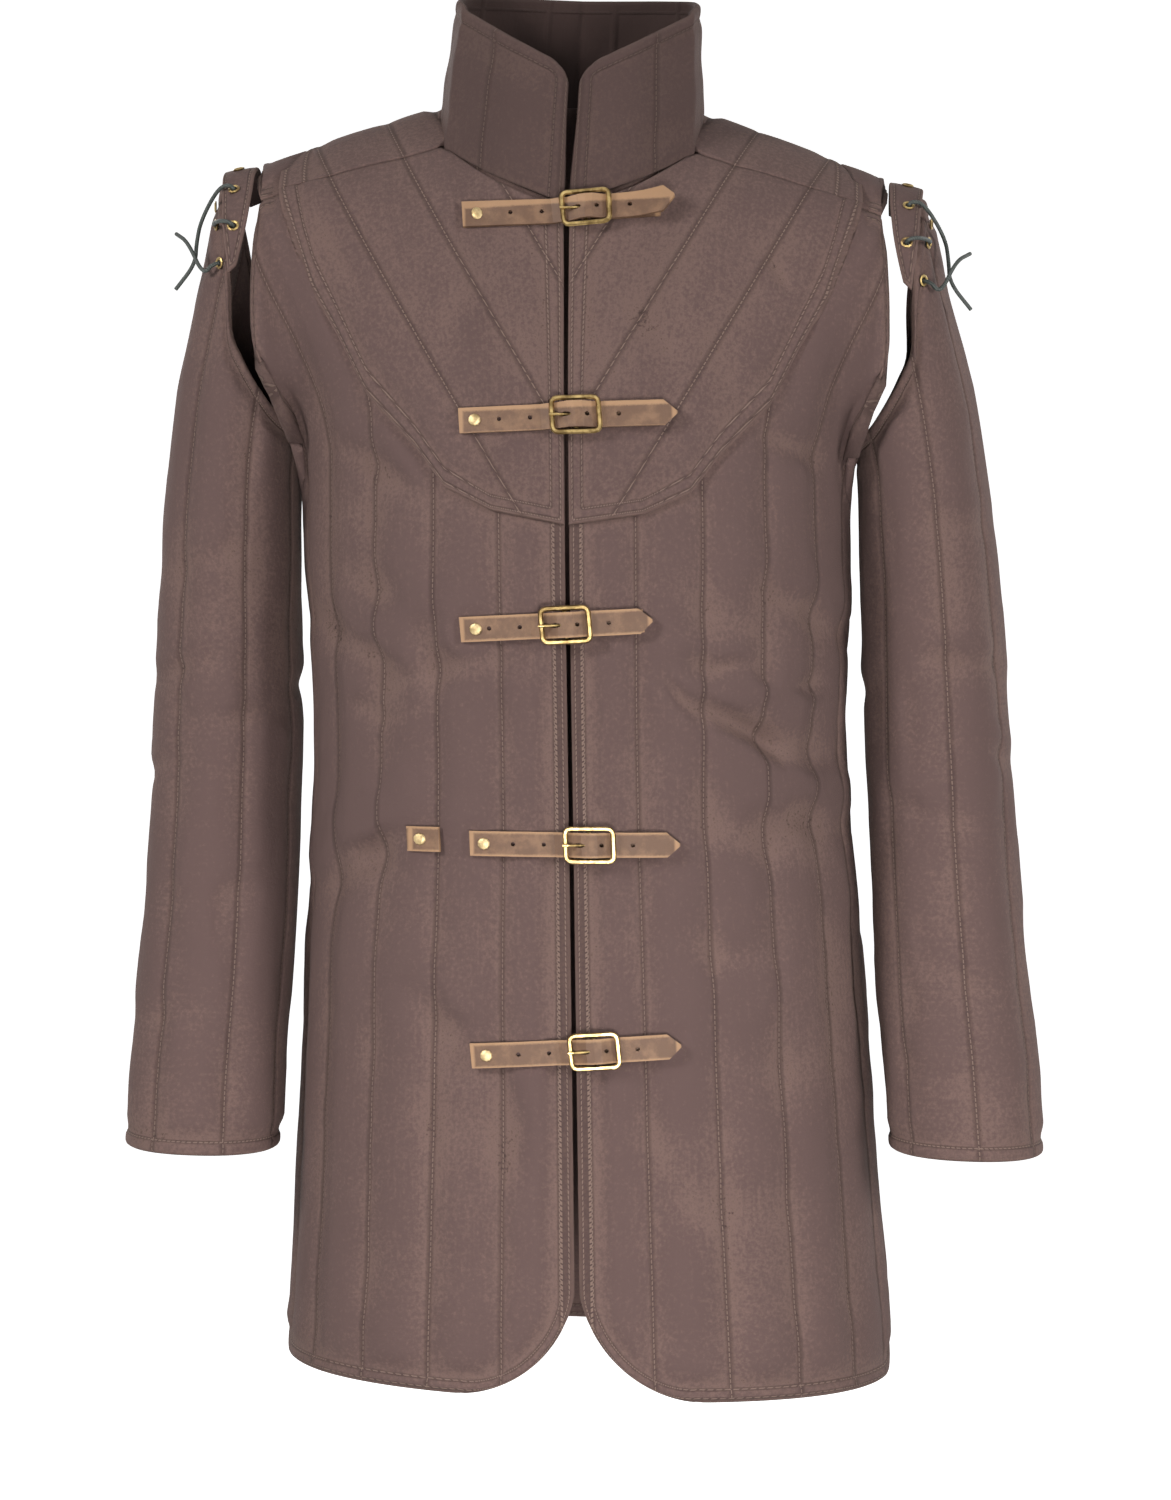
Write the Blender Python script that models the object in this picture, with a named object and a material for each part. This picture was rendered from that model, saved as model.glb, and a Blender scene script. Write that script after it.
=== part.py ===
"""Gambeson: a quilted canvas jacket with stand collar, chest mantle, laced sleeves and five buckled straps.

Built at real size in metres with +Z up. The front faces -Y and the wearer's left is +X.
The origin is at the base of the neck, between the shoulders, where the wearer carries the weight.
Sizes below are in millimetres and turned to metres when each mesh is written.
"""
import math

import bmesh
import bpy
import numpy as np
from mathutils import Vector

MM = 0.001

# Driving sizes of the cloth, in millimetres.
WALL = 4.0                 # padded cloth inside the stitched level
PUFF = 3.0                 # rise of a quilting channel above its stitching
SLEEVE_PUFF = 2.6
BAND = 9.5                 # stitched edge band
SEAM_GAP = 0.25            # half of the gap left at a seam
FRONT_GAP = 2.3            # half of the opening at the centre front
CHANNEL = 0.1725           # width of a quilting channel as a share of the half girth
SECTION_POWER = 2.3
ARMPIT_Z = -235.0
HEM_Z = -830.0
FRONT_CORNER = 85.0        # rounding of the fronts at the centre
SLIT_CORNER = 38.0         # rounding at the side slits
MANTLE_WALL = 2.6
MANTLE_PUFF = 1.5
MANTLE_LIFT = 0.5
COLLAR_WALL = 4.0
LEAN_X = -0.0143           # the jacket hangs a little out of upright, as worn
LEAN_Z = -0.028

# Half width, depth in front and depth behind of the body at each height.
BODY_ROWS = (
    # z, half_width, front, back
    (-200, 179, 126, 111),
    (-235, 181, 128, 112),
    (-300, 181, 136, 112),
    (-390, 178, 137, 106),
    (-470, 180, 136, 108),
    (-560, 187, 138, 118),
    (-680, 194, 142, 128),
    (-780, 202, 146, 132),
    (-840, 206, 148, 133),
)

# Upper edge of the front: neckline, shoulder seam, then armhole.
# The edge direction (dx, dy, dz) carries down for "reach".
FRONT_TOP = (
    # u, x, y, z, dx, dy, dz, reach, rise
    (0.000, 0, -80, -62, 0.00, -0.20, -0.98, 60, 80),
    (0.115, 40, -72, -46, 0.00, -0.38, -0.92, 55, 80),
    (0.230, 78, -42, -26, 0.00, -0.78, -0.62, 60, 85),
    (0.6325, 204, -42, -60, 0.00, -0.78, -0.62, 40, 70),
    (0.690, 207, -62, -90, -0.10, -0.45, -0.88, 35, 60),
    (0.7475, 208, -74, -125, -0.15, -0.25, -0.95, 30, 55),
    (0.805, 207, -77, -155, -0.25, -0.10, -0.96, 28, 50),
    (0.8625, 198, -73, -178, -0.30, 0.00, -0.95, 26, 45),
    (0.920, 187, -57, -198, -0.20, 0.05, -0.97, 25, 40),
    (0.960, 181, -31, -217, -0.10, 0.00, -0.99, 25, 35),
    (1.000, 178, 0, -232, 0.00, 0.00, -1.00, 25, 30),
)
FRONT_CORNERS = (0.230, 0.6325)

BACK_TOP = (
    # u, x, y, z, dx, dy, dz, reach, rise
    (0.000, 0, 62, 14, 0.00, 0.45, -0.89, 60, 90),
    (0.115, 47, 50, 12, 0.00, 0.62, -0.73, 70, 110),
    (0.220, 77, 22, 7, 0.05, 0.90, -0.30, 90, 140),
    (0.315, 83, -10, -2, 0.14, 0.95, 0.20, 110, 165),
    (0.4025, 78, -42, -26, 0.36, 0.72, 0.58, 130, 180),
    (0.6325, 204, -42, -60, 0.00, 0.78, 0.62, 110, 170),
    (0.670, 207, -14, -41, 0.00, 0.93, 0.25, 95, 150),
    (0.710, 206, 28, -45, -0.08, 0.85, -0.45, 75, 120),
    (0.755, 205, 62, -83, -0.12, 0.50, -0.83, 60, 90),
    (0.805, 203, 78, -125, -0.20, 0.20, -0.95, 45, 70),
    (0.8625, 198, 76, -165, -0.30, 0.05, -0.95, 35, 50),
    (0.920, 188, 56, -197, -0.20, 0.00, -0.97, 28, 40),
    (0.960, 181, 30, -217, -0.10, 0.00, -0.99, 25, 35),
    (1.000, 178, 0, -232, 0.00, 0.00, -1.00, 25, 30),
)
BACK_CORNERS = (0.4025, 0.6325)

# Lower edge of the chest mantle in the front view.
MANTLE_EDGE = (
    # x, z
    (0, -269), (48, -261), (78, -247), (97, -222), (129, -189), (148, -152), (165, -124), (172, -105),
    (190, -63), (195, -30),
)

# Sleeve: outermost x, half width, half depth and middle y at each height.
SLEEVE_ROWS = (
    # z, outer_x, half_width, half_depth, middle_y
    (-38, 234, 36, 62, 5),
    (-100, 247, 42, 67, 5),
    (-160, 262, 44, 68, 5),
    (-230, 273, 44, 69, 5),
    (-300, 281, 46.5, 69, 6),
    (-390, 287, 49, 67, 7),
    (-490, 292, 50, 64, -3),
    (-560, 297, 51, 61, -18),
    (-640, 304, 52, 58, -36),
    (-695, 307, 52.5, 57, -46),
)
SLEEVE_HEAD = (
    # degrees from the outer side, z of the open rim
    (0, -46), (30, -60), (56, -93), (71, -121), (81, -147), (90, -160), (120, -190), (180, -213),
)
CUFF_Z = {-1: -688.0, 1: -674.0}
SLEEVE_TURN = {-1: 9.0, 1: 32.0}
SLEEVE_CHANNELS = 7


def smooth_through(xs, ys):
    """A smooth function through the given rows, held level beyond the ends."""
    xs = np.asarray(xs, float)
    ys = np.asarray(ys, float)
    if xs[0] > xs[-1]:
        xs, ys = xs[::-1], ys[::-1]
    slopes = np.gradient(ys, xs, axis=0)

    def value(x):
        x = min(max(x, xs[0]), xs[-1])
        k = int(min(max(np.searchsorted(xs, x) - 1, 0), len(xs) - 2))
        step = xs[k + 1] - xs[k]
        t = (x - xs[k]) / step
        return ((2 * t**3 - 3 * t**2 + 1) * ys[k] + (t**3 - 2 * t**2 + t) * step * slopes[k]
                + (3 * t**2 - 2 * t**3) * ys[k + 1] + (t**3 - t**2) * step * slopes[k + 1])

    return value


def smooth_between(rows, corners):
    """Join smooth runs of table rows that meet at corners."""
    rows = np.asarray(rows, float)
    breaks = [rows[0, 0], *corners, rows[-1, 0]]
    runs = []
    for low, high in zip(breaks, breaks[1:]):
        part = rows[(rows[:, 0] >= low - 1e-9) & (rows[:, 0] <= high + 1e-9)]
        runs.append((high, smooth_through(part[:, 0], part[:, 1:])))

    def value(u):
        for high, run in runs:
            if u <= high:
                return run(u)
        return runs[-1][1](u)

    return value


def quarter_section():
    """Unit coordinates of a quarter of the body section at even shares of its length."""
    phi = np.linspace(0, math.pi / 2, 3000)
    x = np.sin(phi) ** (2 / SECTION_POWER)
    y = np.cos(phi) ** (2 / SECTION_POWER)
    length = np.concatenate([[0], np.cumsum(np.hypot(180 * np.diff(x), 137 * np.diff(y)))])
    share = length / length[-1]
    even = np.linspace(0, 1, 401)
    return even, np.interp(even, share, x), np.interp(even, share, y)


SHARE, UNIT_X, UNIT_Y = quarter_section()
body_size = smooth_through([r[0] for r in BODY_ROWS], [r[1:] for r in BODY_ROWS])
mantle_edge = [np.array(c, float) for c in zip(*MANTLE_EDGE)]


def hem_height(u, x, front):
    """Height of the lower edge, rounded at the centre front and at the side slits."""
    z = HEM_Z
    if front and x < FRONT_CORNER:
        z += FRONT_CORNER * (1 - math.sqrt(1 - (1 - x / FRONT_CORNER) ** 2))
    from_side = (1 - u) * 290
    if from_side < SLIT_CORNER:
        z += SLIT_CORNER * (1 - math.sqrt(max(1 - (1 - from_side / SLIT_CORNER) ** 2, 0)))
    return z


class Panel:
    """The stitched level of a front or back panel; u runs from the centre to the side, s down each column."""

    def __init__(self, facing, top_rows, corners):
        self.facing = facing
        self.top = smooth_between(top_rows, corners)
        self.cache = {}

    def low(self, u, z):
        half, front, back = body_size(z)
        depth = front if self.facing < 0 else back
        cx = np.interp(u, SHARE, UNIT_X)
        cy = np.interp(u, SHARE, UNIT_Y)
        return np.array([(half - PUFF) * cx, self.facing * (depth - PUFF) * cy, z])

    def column(self, u):
        u = min(abs(u), 1.0)
        key = round(u, 5)
        if key in self.cache:
            return self.cache[key]
        row = self.top(u)
        start, way, reach, rise = row[0:3], row[3:6], row[6], row[7]
        way = way / np.linalg.norm(way)
        join = min(ARMPIT_Z, start[2] - 80)
        end = self.low(u, join)
        climb = (self.low(u, join) - self.low(u, join - 20)) / 20
        c1 = start + way * reach
        c2 = end + climb * rise
        t = np.linspace(0, 1, 45)[:, None]
        upper = (1 - t) ** 3 * start + 3 * (1 - t) ** 2 * t * c1 + 3 * (1 - t) * t**2 * c2 + t**3 * end
        hem = hem_height(u, end[0] * 1.14, self.facing < 0)
        lower = np.array([self.low(u, z) for z in np.linspace(join, hem, 50)[1:]])
        points = np.vstack([upper, lower])
        length = np.concatenate([[0], np.cumsum(np.linalg.norm(np.diff(points, axis=0), axis=1))])
        self.cache[key] = (points, length)
        return self.cache[key]

    def size(self, u):
        return self.column(u)[1][-1]

    def at(self, u, s):
        points, length = self.column(u)
        p = np.array([np.interp(s, length, points[:, k]) for k in range(3)])
        if s < 0:
            p = points[0] + (points[0] - points[1]) / length[1] * -s
        if u < 0:
            p[0] = -p[0]
        return p

    def normal(self, u, s):
        total = self.size(u)
        low_s, high_s = max(s - 6, 0), min(s + 6, total)
        low_u, high_u = u - 0.008, min(u + 0.008, 1.0)
        across = self.at(high_u, s) - self.at(low_u, s)
        down = self.at(u, high_s) - self.at(u, low_s)
        n = self.facing * np.cross(across, down)
        return n / np.linalg.norm(n)

    def off(self, u, s, lift):
        """Point at share u and depth s, moved out by lift; negative u gives the other half."""
        p = self.at(abs(u), s) + self.normal(abs(u), s) * lift
        if u < 0:
            p[0] = -p[0]
        return p


front_panel = Panel(-1, FRONT_TOP, FRONT_CORNERS)
back_panel = Panel(1, BACK_TOP, BACK_CORNERS)


def share_at(panel, test):
    """Share u where test(top point) turns true, found by halving."""
    low, high = 0.24, 0.64
    for _ in range(30):
        middle = (low + high) / 2
        if test(panel.top(middle)):
            high = middle
        else:
            low = middle
    return (low + high) / 2


def edge_height(x):
    return float(np.interp(abs(x), mantle_edge[0], mantle_edge[1]))


FRONT_MANTLE_END = share_at(front_panel, lambda row: row[2] < edge_height(row[0]) or row[0] > 193)
BACK_MANTLE_END = 0.610


def mantle_depth(panel, u):
    """Length down a column from the top to the mantle's edge."""
    if panel is front_panel:
        if u >= FRONT_MANTLE_END:
            return 0.0
        points, length = panel.column(u)
        inside = [p[2] >= edge_height(p[0]) for p in points]
        k = inside.index(False) if False in inside else len(points) - 1
        if k == 0:
            return 0.0
        gap0 = points[k - 1][2] - edge_height(points[k - 1][0])
        gap1 = points[k][2] - edge_height(points[k][0])
        t = gap0 / (gap0 - gap1)
        return float(length[k - 1] + t * (length[k] - length[k - 1]))
    if u >= BACK_MANTLE_END:
        return 0.0
    return 300.0 * (1 - (u / BACK_MANTLE_END) ** 2.0) ** 0.75 + (30 if u > 0.2 else 30 * u / 0.2) * (
        1 - u / BACK_MANTLE_END)


def lean(p):
    """Let the whole jacket hang slightly out of upright, in metres."""
    x, y, z = p
    return Vector(((x + LEAN_X * z) * MM, y * MM, (z + LEAN_Z * x) * MM))


collection = bpy.data.collections.new("Gambeson")
cutters = bpy.data.collections.new("Gambeson cutters")
for item in list(bpy.data.objects):
    bpy.data.objects.remove(item, do_unlink=True)
bpy.context.scene.collection.children.link(collection)
bpy.context.scene.collection.children.link(cutters)


def material(name, colour, rough, metal=0.0):
    """One plain material per named piece."""
    mat = bpy.data.materials.new(name)
    mat.use_nodes = True
    shader = mat.node_tree.nodes["Principled BSDF"]
    shader.inputs["Base Color"].default_value = (*colour, 1)
    shader.inputs["Roughness"].default_value = rough
    shader.inputs["Metallic"].default_value = metal
    mat.diffuse_color = (*colour, 1)
    return mat


CANVAS = (0.155, 0.098, 0.085)
LEATHER = (0.30, 0.16, 0.08)
BRASS = (0.55, 0.42, 0.20)
CORD = (0.012, 0.016, 0.013)


def finish(name, bm, colour, rough=0.9, metal=0.0, angle=40, where=None):
    """Write a mesh as a named object with its own material and outward faces."""
    bmesh.ops.recalc_face_normals(bm, faces=bm.faces)
    mesh = bpy.data.meshes.new(name)
    bm.to_mesh(mesh)
    bm.free()
    mesh.shade_smooth()
    mesh.set_sharp_from_angle(angle=math.radians(angle))
    obj = bpy.data.objects.new(name, mesh)
    obj.data.materials.append(material(name, colour, rough, metal))
    (where or collection).objects.link(obj)
    return obj


def cloth(name, columns, rows, place, closed=False, keep=None, plain_from=0, skip=None,
          level=0):
    """A two-layer cloth solid over a grid; place(i, j, layer) gives each point in millimetres.

    From row plain_from down, the inside keeps only the columns that keep names. The cells are split into
    triangles on the given level, so that two pieces over the same points fold along the same lines."""
    bm = bmesh.new()
    bmesh.ops.create_grid(bm, x_segments=columns, y_segments=rows, size=1)
    col = bm.verts.layers.int.new("col")
    row = bm.verts.layers.int.new("row")
    for v in bm.verts:
        v[col] = round((v.co.x + 1) / 2 * columns)
        v[row] = round((v.co.y + 1) / 2 * rows)
    for v in bm.verts:
        v.co = lean(place(v[col], v[row], level))
    if closed:
        bmesh.ops.remove_doubles(bm, verts=bm.verts, dist=1e-7)
    if skip:
        spare = [f for f in bm.faces if skip(min(v[col] for v in f.verts), min(v[row] for v in f.verts))]
        bmesh.ops.delete(bm, geom=spare, context="FACES")
    bmesh.ops.triangulate(bm, faces=bm.faces[:], quad_method="SHORT_EDGE")
    grown = bmesh.ops.extrude_face_region(bm, geom=bm.faces[:])
    outer = {g for g in grown["geom"] if isinstance(g, bmesh.types.BMVert)}
    for v in bm.verts:
        v.co = lean(place(v[col], v[row], 1 if v in outer else 0))
    if keep:
        inside = [e for e in bm.edges if not (set(e.verts) & outer)]
        inside = [e for e in inside if min(v[row] for v in e.verts) >= plain_from]
        slanted = [e for e in inside if e.verts[0][col] != e.verts[1][col] and e.verts[0][row] != e.verts[1][row]]
        spare = [e for e in inside if e.verts[0][col] == e.verts[1][col] and not keep(e.verts[0][col])]
        bmesh.ops.dissolve_edges(bm, edges=slanted + spare, use_verts=True)
    return finish(name, bm, CANVAS)


# Body panels

def front_columns():
    """Share of each column of a front, the rise of the outer cloth there, and whether the inside keeps it."""
    stops = [0.036] + [CHANNEL * k for k in range(1, 6)] + [1.0 - SEAM_GAP / 290]
    columns = [(FRONT_GAP / 262, 1.2, True)]
    for low, high in zip(stops, stops[1:]):
        step = (high - low) / 3
        columns += [(low, 0.0, True), (low + step, PUFF, False), (low + step * 2, PUFF, False)]
    columns += [(stops[-1], 0.0, True), (FRONT_CORNERS[0], PUFF, True), (FRONT_CORNERS[1], PUFF, True)]
    columns += [(FRONT_CORNERS[0] + 0.020, PUFF, False), (FRONT_MANTLE_END, PUFF, False)]
    return thin_out(columns)


def back_columns():
    """Shares of one half of the back, from the middle to the side."""
    stops = [CHANNEL * k for k in range(0, 6)] + [1.0 - SEAM_GAP / 290]
    half = []
    for low, high in zip(stops, stops[1:]):
        step = (high - low) / 3
        half += [(low, 0.0, True), (low + step, PUFF, False), (low + step * 2, PUFF, False)]
    half += [(stops[-1], 0.0, True), (BACK_CORNERS[0], PUFF, True), (BACK_CORNERS[1], PUFF, True)]
    half += [(BACK_CORNERS[0] + 0.025, PUFF, False), (BACK_MANTLE_END, PUFF, False)]
    return thin_out(half)


def thin_out(columns):
    """Put columns in order and drop a plain one that falls beside another."""
    columns = sorted(columns, key=lambda c: (round(c[0], 4), not c[2]))
    kept = []
    for column in columns:
        if kept and column[0] - kept[-1][0] < 0.004:
            continue
        kept.append(column)
    return kept


FRONT_COLUMNS = front_columns()
BACK_HALF = back_columns()
BACK_COLUMNS = [(-u, rise, keep) for u, rise, keep in reversed(BACK_HALF[1:])] + BACK_HALF
ROWS = 16
MANTLE_ROWS = 7
BACK_MANTLE_LIFT = 1.6
UNDER_MANTLE = 1.8          # the back is thinner where the mantle covers it
COLLAR_CLEAR = 8.5


def body_depth(panel, u, j):
    """Depth of row j down a column: rows under the mantle, then even rows down to the hem band."""
    total = panel.size(u)
    end = FRONT_MANTLE_END if panel is front_panel else BACK_MANTLE_END
    beside = min(max(u - end - 1e-6, 0.0) * 1600.0, 70.0)
    cover = max(mantle_depth(panel, u), 24.0 + beside)
    if j == 0:
        return SEAM_GAP
    if j < MANTLE_ROWS:
        return COLLAR_CLEAR + (cover - BAND - COLLAR_CLEAR) * (j - 1) / (MANTLE_ROWS - 2)
    if j == MANTLE_ROWS:
        return cover
    if j == ROWS:
        return total
    free = (j - MANTLE_ROWS - 1) / (ROWS - 2 - MANTLE_ROWS)
    return cover + 9 + (total - BAND - cover - 9) * free


def body_rise(panel, u, rise, j):
    end = FRONT_MANTLE_END if panel is front_panel else BACK_MANTLE_END
    if panel is back_panel and 0 < j < MANTLE_ROWS and u <= end + 1e-6:
        return -UNDER_MANTLE
    if j == ROWS:
        return 1.2
    if j in (0, ROWS - 1) or (u <= end + 1e-6 and j <= MANTLE_ROWS) or (u > end - 0.06 and j <= MANTLE_ROWS + 1):
        return 0.0
    return rise


def build_body(name, panel, columns, side):
    def place(i, j, layer):
        u, rise, _ = columns[i]
        size = abs(u)
        lift = {1: body_rise(panel, size, rise, j), 0: -WALL, -1: 0.0}[layer]
        return panel.off(u * side, body_depth(panel, size, j), lift)

    return cloth(name, len(columns) - 1, ROWS, place, keep=lambda i: columns[i][2],
                 plain_from=MANTLE_ROWS, level=-1)


# Chest mantle

def mantle_rise(x, z):
    """Rise of the mantle's diagonal channels, which run from the shoulders down to the centre."""
    across = 0.86 * abs(x) - 0.51 * z
    return MANTLE_PUFF * abs(math.sin(math.pi * (across - 12) / 49)) ** 0.7


def build_mantle(name, panel, columns, corner, side):
    """The mantle follows the panel's own points, moved out; it stays clear of the collar at the neckline."""
    def place(i, j, layer):
        u = columns[i][0]
        size = abs(u)
        s = body_depth(panel, size, j)
        p = panel.at(size, s)
        lift = 0.0 if layer < 0 else MANTLE_LIFT
        if layer >= 0 and panel is back_panel and j < MANTLE_ROWS:
            lift = BACK_MANTLE_LIFT
        if layer > 0:
            lift += MANTLE_WALL
            if 0 < j < MANTLE_ROWS - 1:
                lift += mantle_rise(p[0], p[2])
            elif j == MANTLE_ROWS:
                lift += 0.6
        return panel.off(u * side, s, lift)

    def beside_collar(i, j):
        middle = (abs(columns[i][0]) + abs(columns[i + 1][0])) / 2
        return j == 0 and middle < corner + 0.018

    return cloth(name, len(columns) - 1, MANTLE_ROWS, place, skip=beside_collar, level=-1)


# Collar

COLLAR_TOP = (
    # share of the ring from the front, z of the upper edge
    (0.000, 6), (0.020, 21), (0.050, 30), (0.100, 37), (0.180, 46), (0.270, 56), (0.400, 70),
    (0.550, 79), (0.750, 84), (1.000, 85),
)


def neck_ring():
    """The neckline of one half as points with the cloth's outward direction there."""
    points = []
    for u in np.linspace(0, FRONT_CORNERS[0], 24):
        points.append((front_panel.at(u, 0), front_panel.normal(u, 1.0)))
    for u in np.linspace(BACK_CORNERS[0], 0, 40)[1:]:
        points.append((back_panel.at(u, 0), back_panel.normal(u, 1.0)))
    spots = np.array([p for p, _ in points])
    length = np.concatenate([[0], np.cumsum(np.hypot(np.diff(spots[:, 0]), np.diff(spots[:, 1])))])
    lifts = np.array([max(n[2], 0.0) for _, n in points])
    return spots, lifts, length / length[-1]


def build_collar():
    spots, lifts, share = neck_ring()
    top = smooth_through([r[0] for r in COLLAR_TOP], [r[1] for r in COLLAR_TOP])
    half = [0.012, 0.03, 0.055, 0.09, 0.14, 0.20, 0.27, 0.35, 0.44, 0.54, 0.65, 0.76, 0.88, 1.0]
    shares = [-t for t in half] + [t for t in reversed(half[:-1])]
    rows = 5

    def base(t):
        return np.array([np.interp(t, share, spots[:, k]) for k in range(3)])

    def place(i, j, layer):
        t = abs(shares[i])
        side = -1 if shares[i] < 0 else 1
        p = base(t)
        ahead = base(min(t + 0.01, 1.0)) - base(max(t - 0.01, 0.0))
        out = np.array([ahead[1], -ahead[0], 0.0])
        if t >= 0.99:
            out = np.array([0.0, 1.0, 0.0])
        out /= np.linalg.norm(out)
        if t < 0.5 and out[1] > 0 or t > 0.5 and out[0] < -0.5:
            out = -out
        bottom = p[2] + 3.6 * float(np.interp(t, share, lifts)) + 2.6
        height = top(t) - bottom
        f = j / rows
        z = bottom + height * f
        inward = 7.0 * f if t > 0.06 else 7.0 * f * (0.35 + 0.65 * t / 0.06)
        shape = COLLAR_WALL * layer - inward
        x = p[0] + out[0] * shape
        y = p[1] + out[1] * shape
        if t < 0.05:
            x = max(x, FRONT_GAP + 1.6 * f) + 0.4 * f
        if t < 0.013:
            x = FRONT_GAP + 3.2 * f**1.5
        return np.array([side * x + 6.0 * f * height / 80, y, z])

    return cloth("collar", len(shares) - 1, rows, place)


# Sleeves

sleeve_size = smooth_through([r[0] for r in SLEEVE_ROWS], [r[1:] for r in SLEEVE_ROWS])
sleeve_head = smooth_through([r[0] for r in SLEEVE_HEAD], [r[1] for r in SLEEVE_HEAD])


def sleeve_point(degrees, z, lift):
    """Point of the sleeve's stitched level, moved out by lift; 0 degrees is the outer side, 90 the front."""
    outer, half, depth, middle = sleeve_size(z)
    a = math.radians(degrees)
    half -= SLEEVE_PUFF
    depth -= SLEEVE_PUFF
    ca, sa = math.cos(a), math.sin(a)
    cx = math.copysign(abs(ca) ** 0.92, ca)
    cy = math.copysign(abs(sa) ** 0.92, sa)
    nx, ny = ca / half, sa / depth
    size = math.hypot(nx, ny)
    x = outer - SLEEVE_PUFF - half + half * cx + lift * nx / size
    y = middle - depth * cy - lift * ny / size
    return np.array([x, y, z])


def head_height(degrees):
    turn = abs((degrees + 180) % 360 - 180)
    return sleeve_head(turn)


SLEEVE_LINES = 13


def build_sleeve(name, side):
    columns = SLEEVE_CHANNELS * 3
    start = SLEEVE_TURN[side]

    def place(i, j, layer):
        degrees = start + 360.0 * (i % columns) / columns
        head = head_height(degrees)
        cuff = CUFF_Z[side]
        if j == 0:
            z = head
        elif j == 1:
            z = head - BAND
        elif j == SLEEVE_LINES:
            z = cuff
        else:
            z = head - BAND + (cuff + BAND - head + BAND) * (j - 1) / (SLEEVE_LINES - 2)
        if layer == 0:
            lift = -WALL
        elif j in (1, SLEEVE_LINES - 1):
            lift = 0.0
        elif j in (0, SLEEVE_LINES):
            lift = 1.2
        else:
            lift = 0.0 if i % 3 == 0 else SLEEVE_PUFF
        p = sleeve_point(degrees, z, lift)
        return np.array([side * p[0], p[1], p[2]])

    return cloth(name, columns, SLEEVE_LINES, place, closed=True)


build_body("front_right", front_panel, FRONT_COLUMNS, -1)
build_body("front_left", front_panel, FRONT_COLUMNS, 1)
build_body("back", back_panel, BACK_COLUMNS, 1)
front_mantle = [c for c in FRONT_COLUMNS if c[0] <= FRONT_MANTLE_END + 1e-6]
back_mantle = [c for c in BACK_COLUMNS if abs(c[0]) <= BACK_MANTLE_END + 1e-6]
build_mantle("yoke_front_right", front_panel, front_mantle, FRONT_CORNERS[0], -1)
build_mantle("yoke_front_left", front_panel, front_mantle, FRONT_CORNERS[0], 1)
build_mantle("yoke_back", back_panel, back_mantle, BACK_CORNERS[0], 1)
build_collar()
build_sleeve("sleeve_right", -1)
build_sleeve("sleeve_left", 1)


# Front surface seen from the front, for everything that lies on it

GRID_X = np.arange(0, 151, 5.0)
GRID_Z = np.arange(-700, -19, 5.0)


def front_depths():
    """Depth y of the stitched level of the fronts over a grid of x and z."""
    samples = []
    for u in np.linspace(0, 0.72, 60):
        points, _ = front_panel.column(u)
        first = points[0] + (points[0] - points[2]) / np.linalg.norm(points[0] - points[2]) * 60
        line = np.vstack([first, points])[::-1]
        samples.append((np.interp(GRID_Z, line[:, 2], line[:, 0]), np.interp(GRID_Z, line[:, 2], line[:, 1])))
    depths = np.zeros((len(GRID_Z), len(GRID_X)))
    for k in range(len(GRID_Z)):
        xs = np.array([s[0][k] for s in samples])
        ys = np.array([s[1][k] for s in samples])
        order = np.argsort(xs)
        depths[k] = np.interp(GRID_X, xs[order], ys[order])
    return depths


DEPTHS = front_depths()


def front_y(x, z):
    x = min(abs(x), GRID_X[-1] - 0.01)
    z = min(max(z, GRID_Z[0]), GRID_Z[-1] - 0.01)
    i, k = int(x // 5), int((z - GRID_Z[0]) // 5)
    fx, fz = x / 5 - i, (z - GRID_Z[0]) / 5 - k
    low = DEPTHS[k, i] * (1 - fx) + DEPTHS[k, i + 1] * fx
    high = DEPTHS[k + 1, i] * (1 - fx) + DEPTHS[k + 1, i + 1] * fx
    return low * (1 - fz) + high * fz


def on_front(x, z, lift):
    """Point on the fronts at x, z in the front view, moved out by lift."""
    slope_x = (front_y(x + 6, z) - front_y(x - 6, z)) / 12
    slope_z = (front_y(x, z + 8) - front_y(x, z - 8)) / 16
    n = np.array([slope_x, -1.0, slope_z])
    return np.array([x, front_y(x, z), z]) + n / np.linalg.norm(n) * lift


# Straps and buckles. Local sizes: a along the strap from the buckle's middle bar, b across it, c out from the cloth.

STRAP_WIDTH = 16.0
STRAP_WALL = 2.0
LOOP_WALL = 1.2
LOOP_HALF = 7.2
BAR_OUT = 4.4
FRAME_OUT = 7.0
FRAME_ROD = 1.6
BAR_ROD = 1.3
FRAME_HALF = 14.9
RAIL_HALF = 10.6

STRAP_ROWS = (
    # number, x, z, rise in degrees, cloth level, left end, rivet, tip, tip lift, far end, far rivet, tip turn
    (1, 13.0, -67, 4.5, 5.0, -80, -70, 56, 11.0, 47, 40, 0.0),
    (2, 6.5, -200, 3.7, 4.7, -74, -64, 63, 3.6, 50, 43, 0.0),
    (3, -1.0, -332, 4.5, 3.4, -67, -57, 54, 3.6, 49, 42, 0.0),
    (4, 12.0, -472, 1.5, 3.4, -76, -67, 56, 3.6, 46, 39, -1.5),
    (5, 13.5, -604, 4.9, 3.4, -79, -69, 54, 3.6, 46, 39, 3.0),
)
HOLES = (-48.5, -29.0, 7.5, 27.0)


def path_height(stations, a):
    return float(np.interp(a, [p[0] for p in stations], [p[1] for p in stations]))


def seat(row):
    """Turns local strap sizes of a row into a point on the jacket."""
    turn = math.radians(row[3])

    def place(a, b, c):
        x = row[1] + a * math.cos(turn) - b * math.sin(turn)
        z = row[2] + a * math.sin(turn) + b * math.cos(turn)
        return lean(on_front(x, z, row[4] + c))

    return place


def settle(bm, place):
    for v in bm.verts:
        v.co = place(v.co.x, v.co.y, v.co.z)


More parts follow.
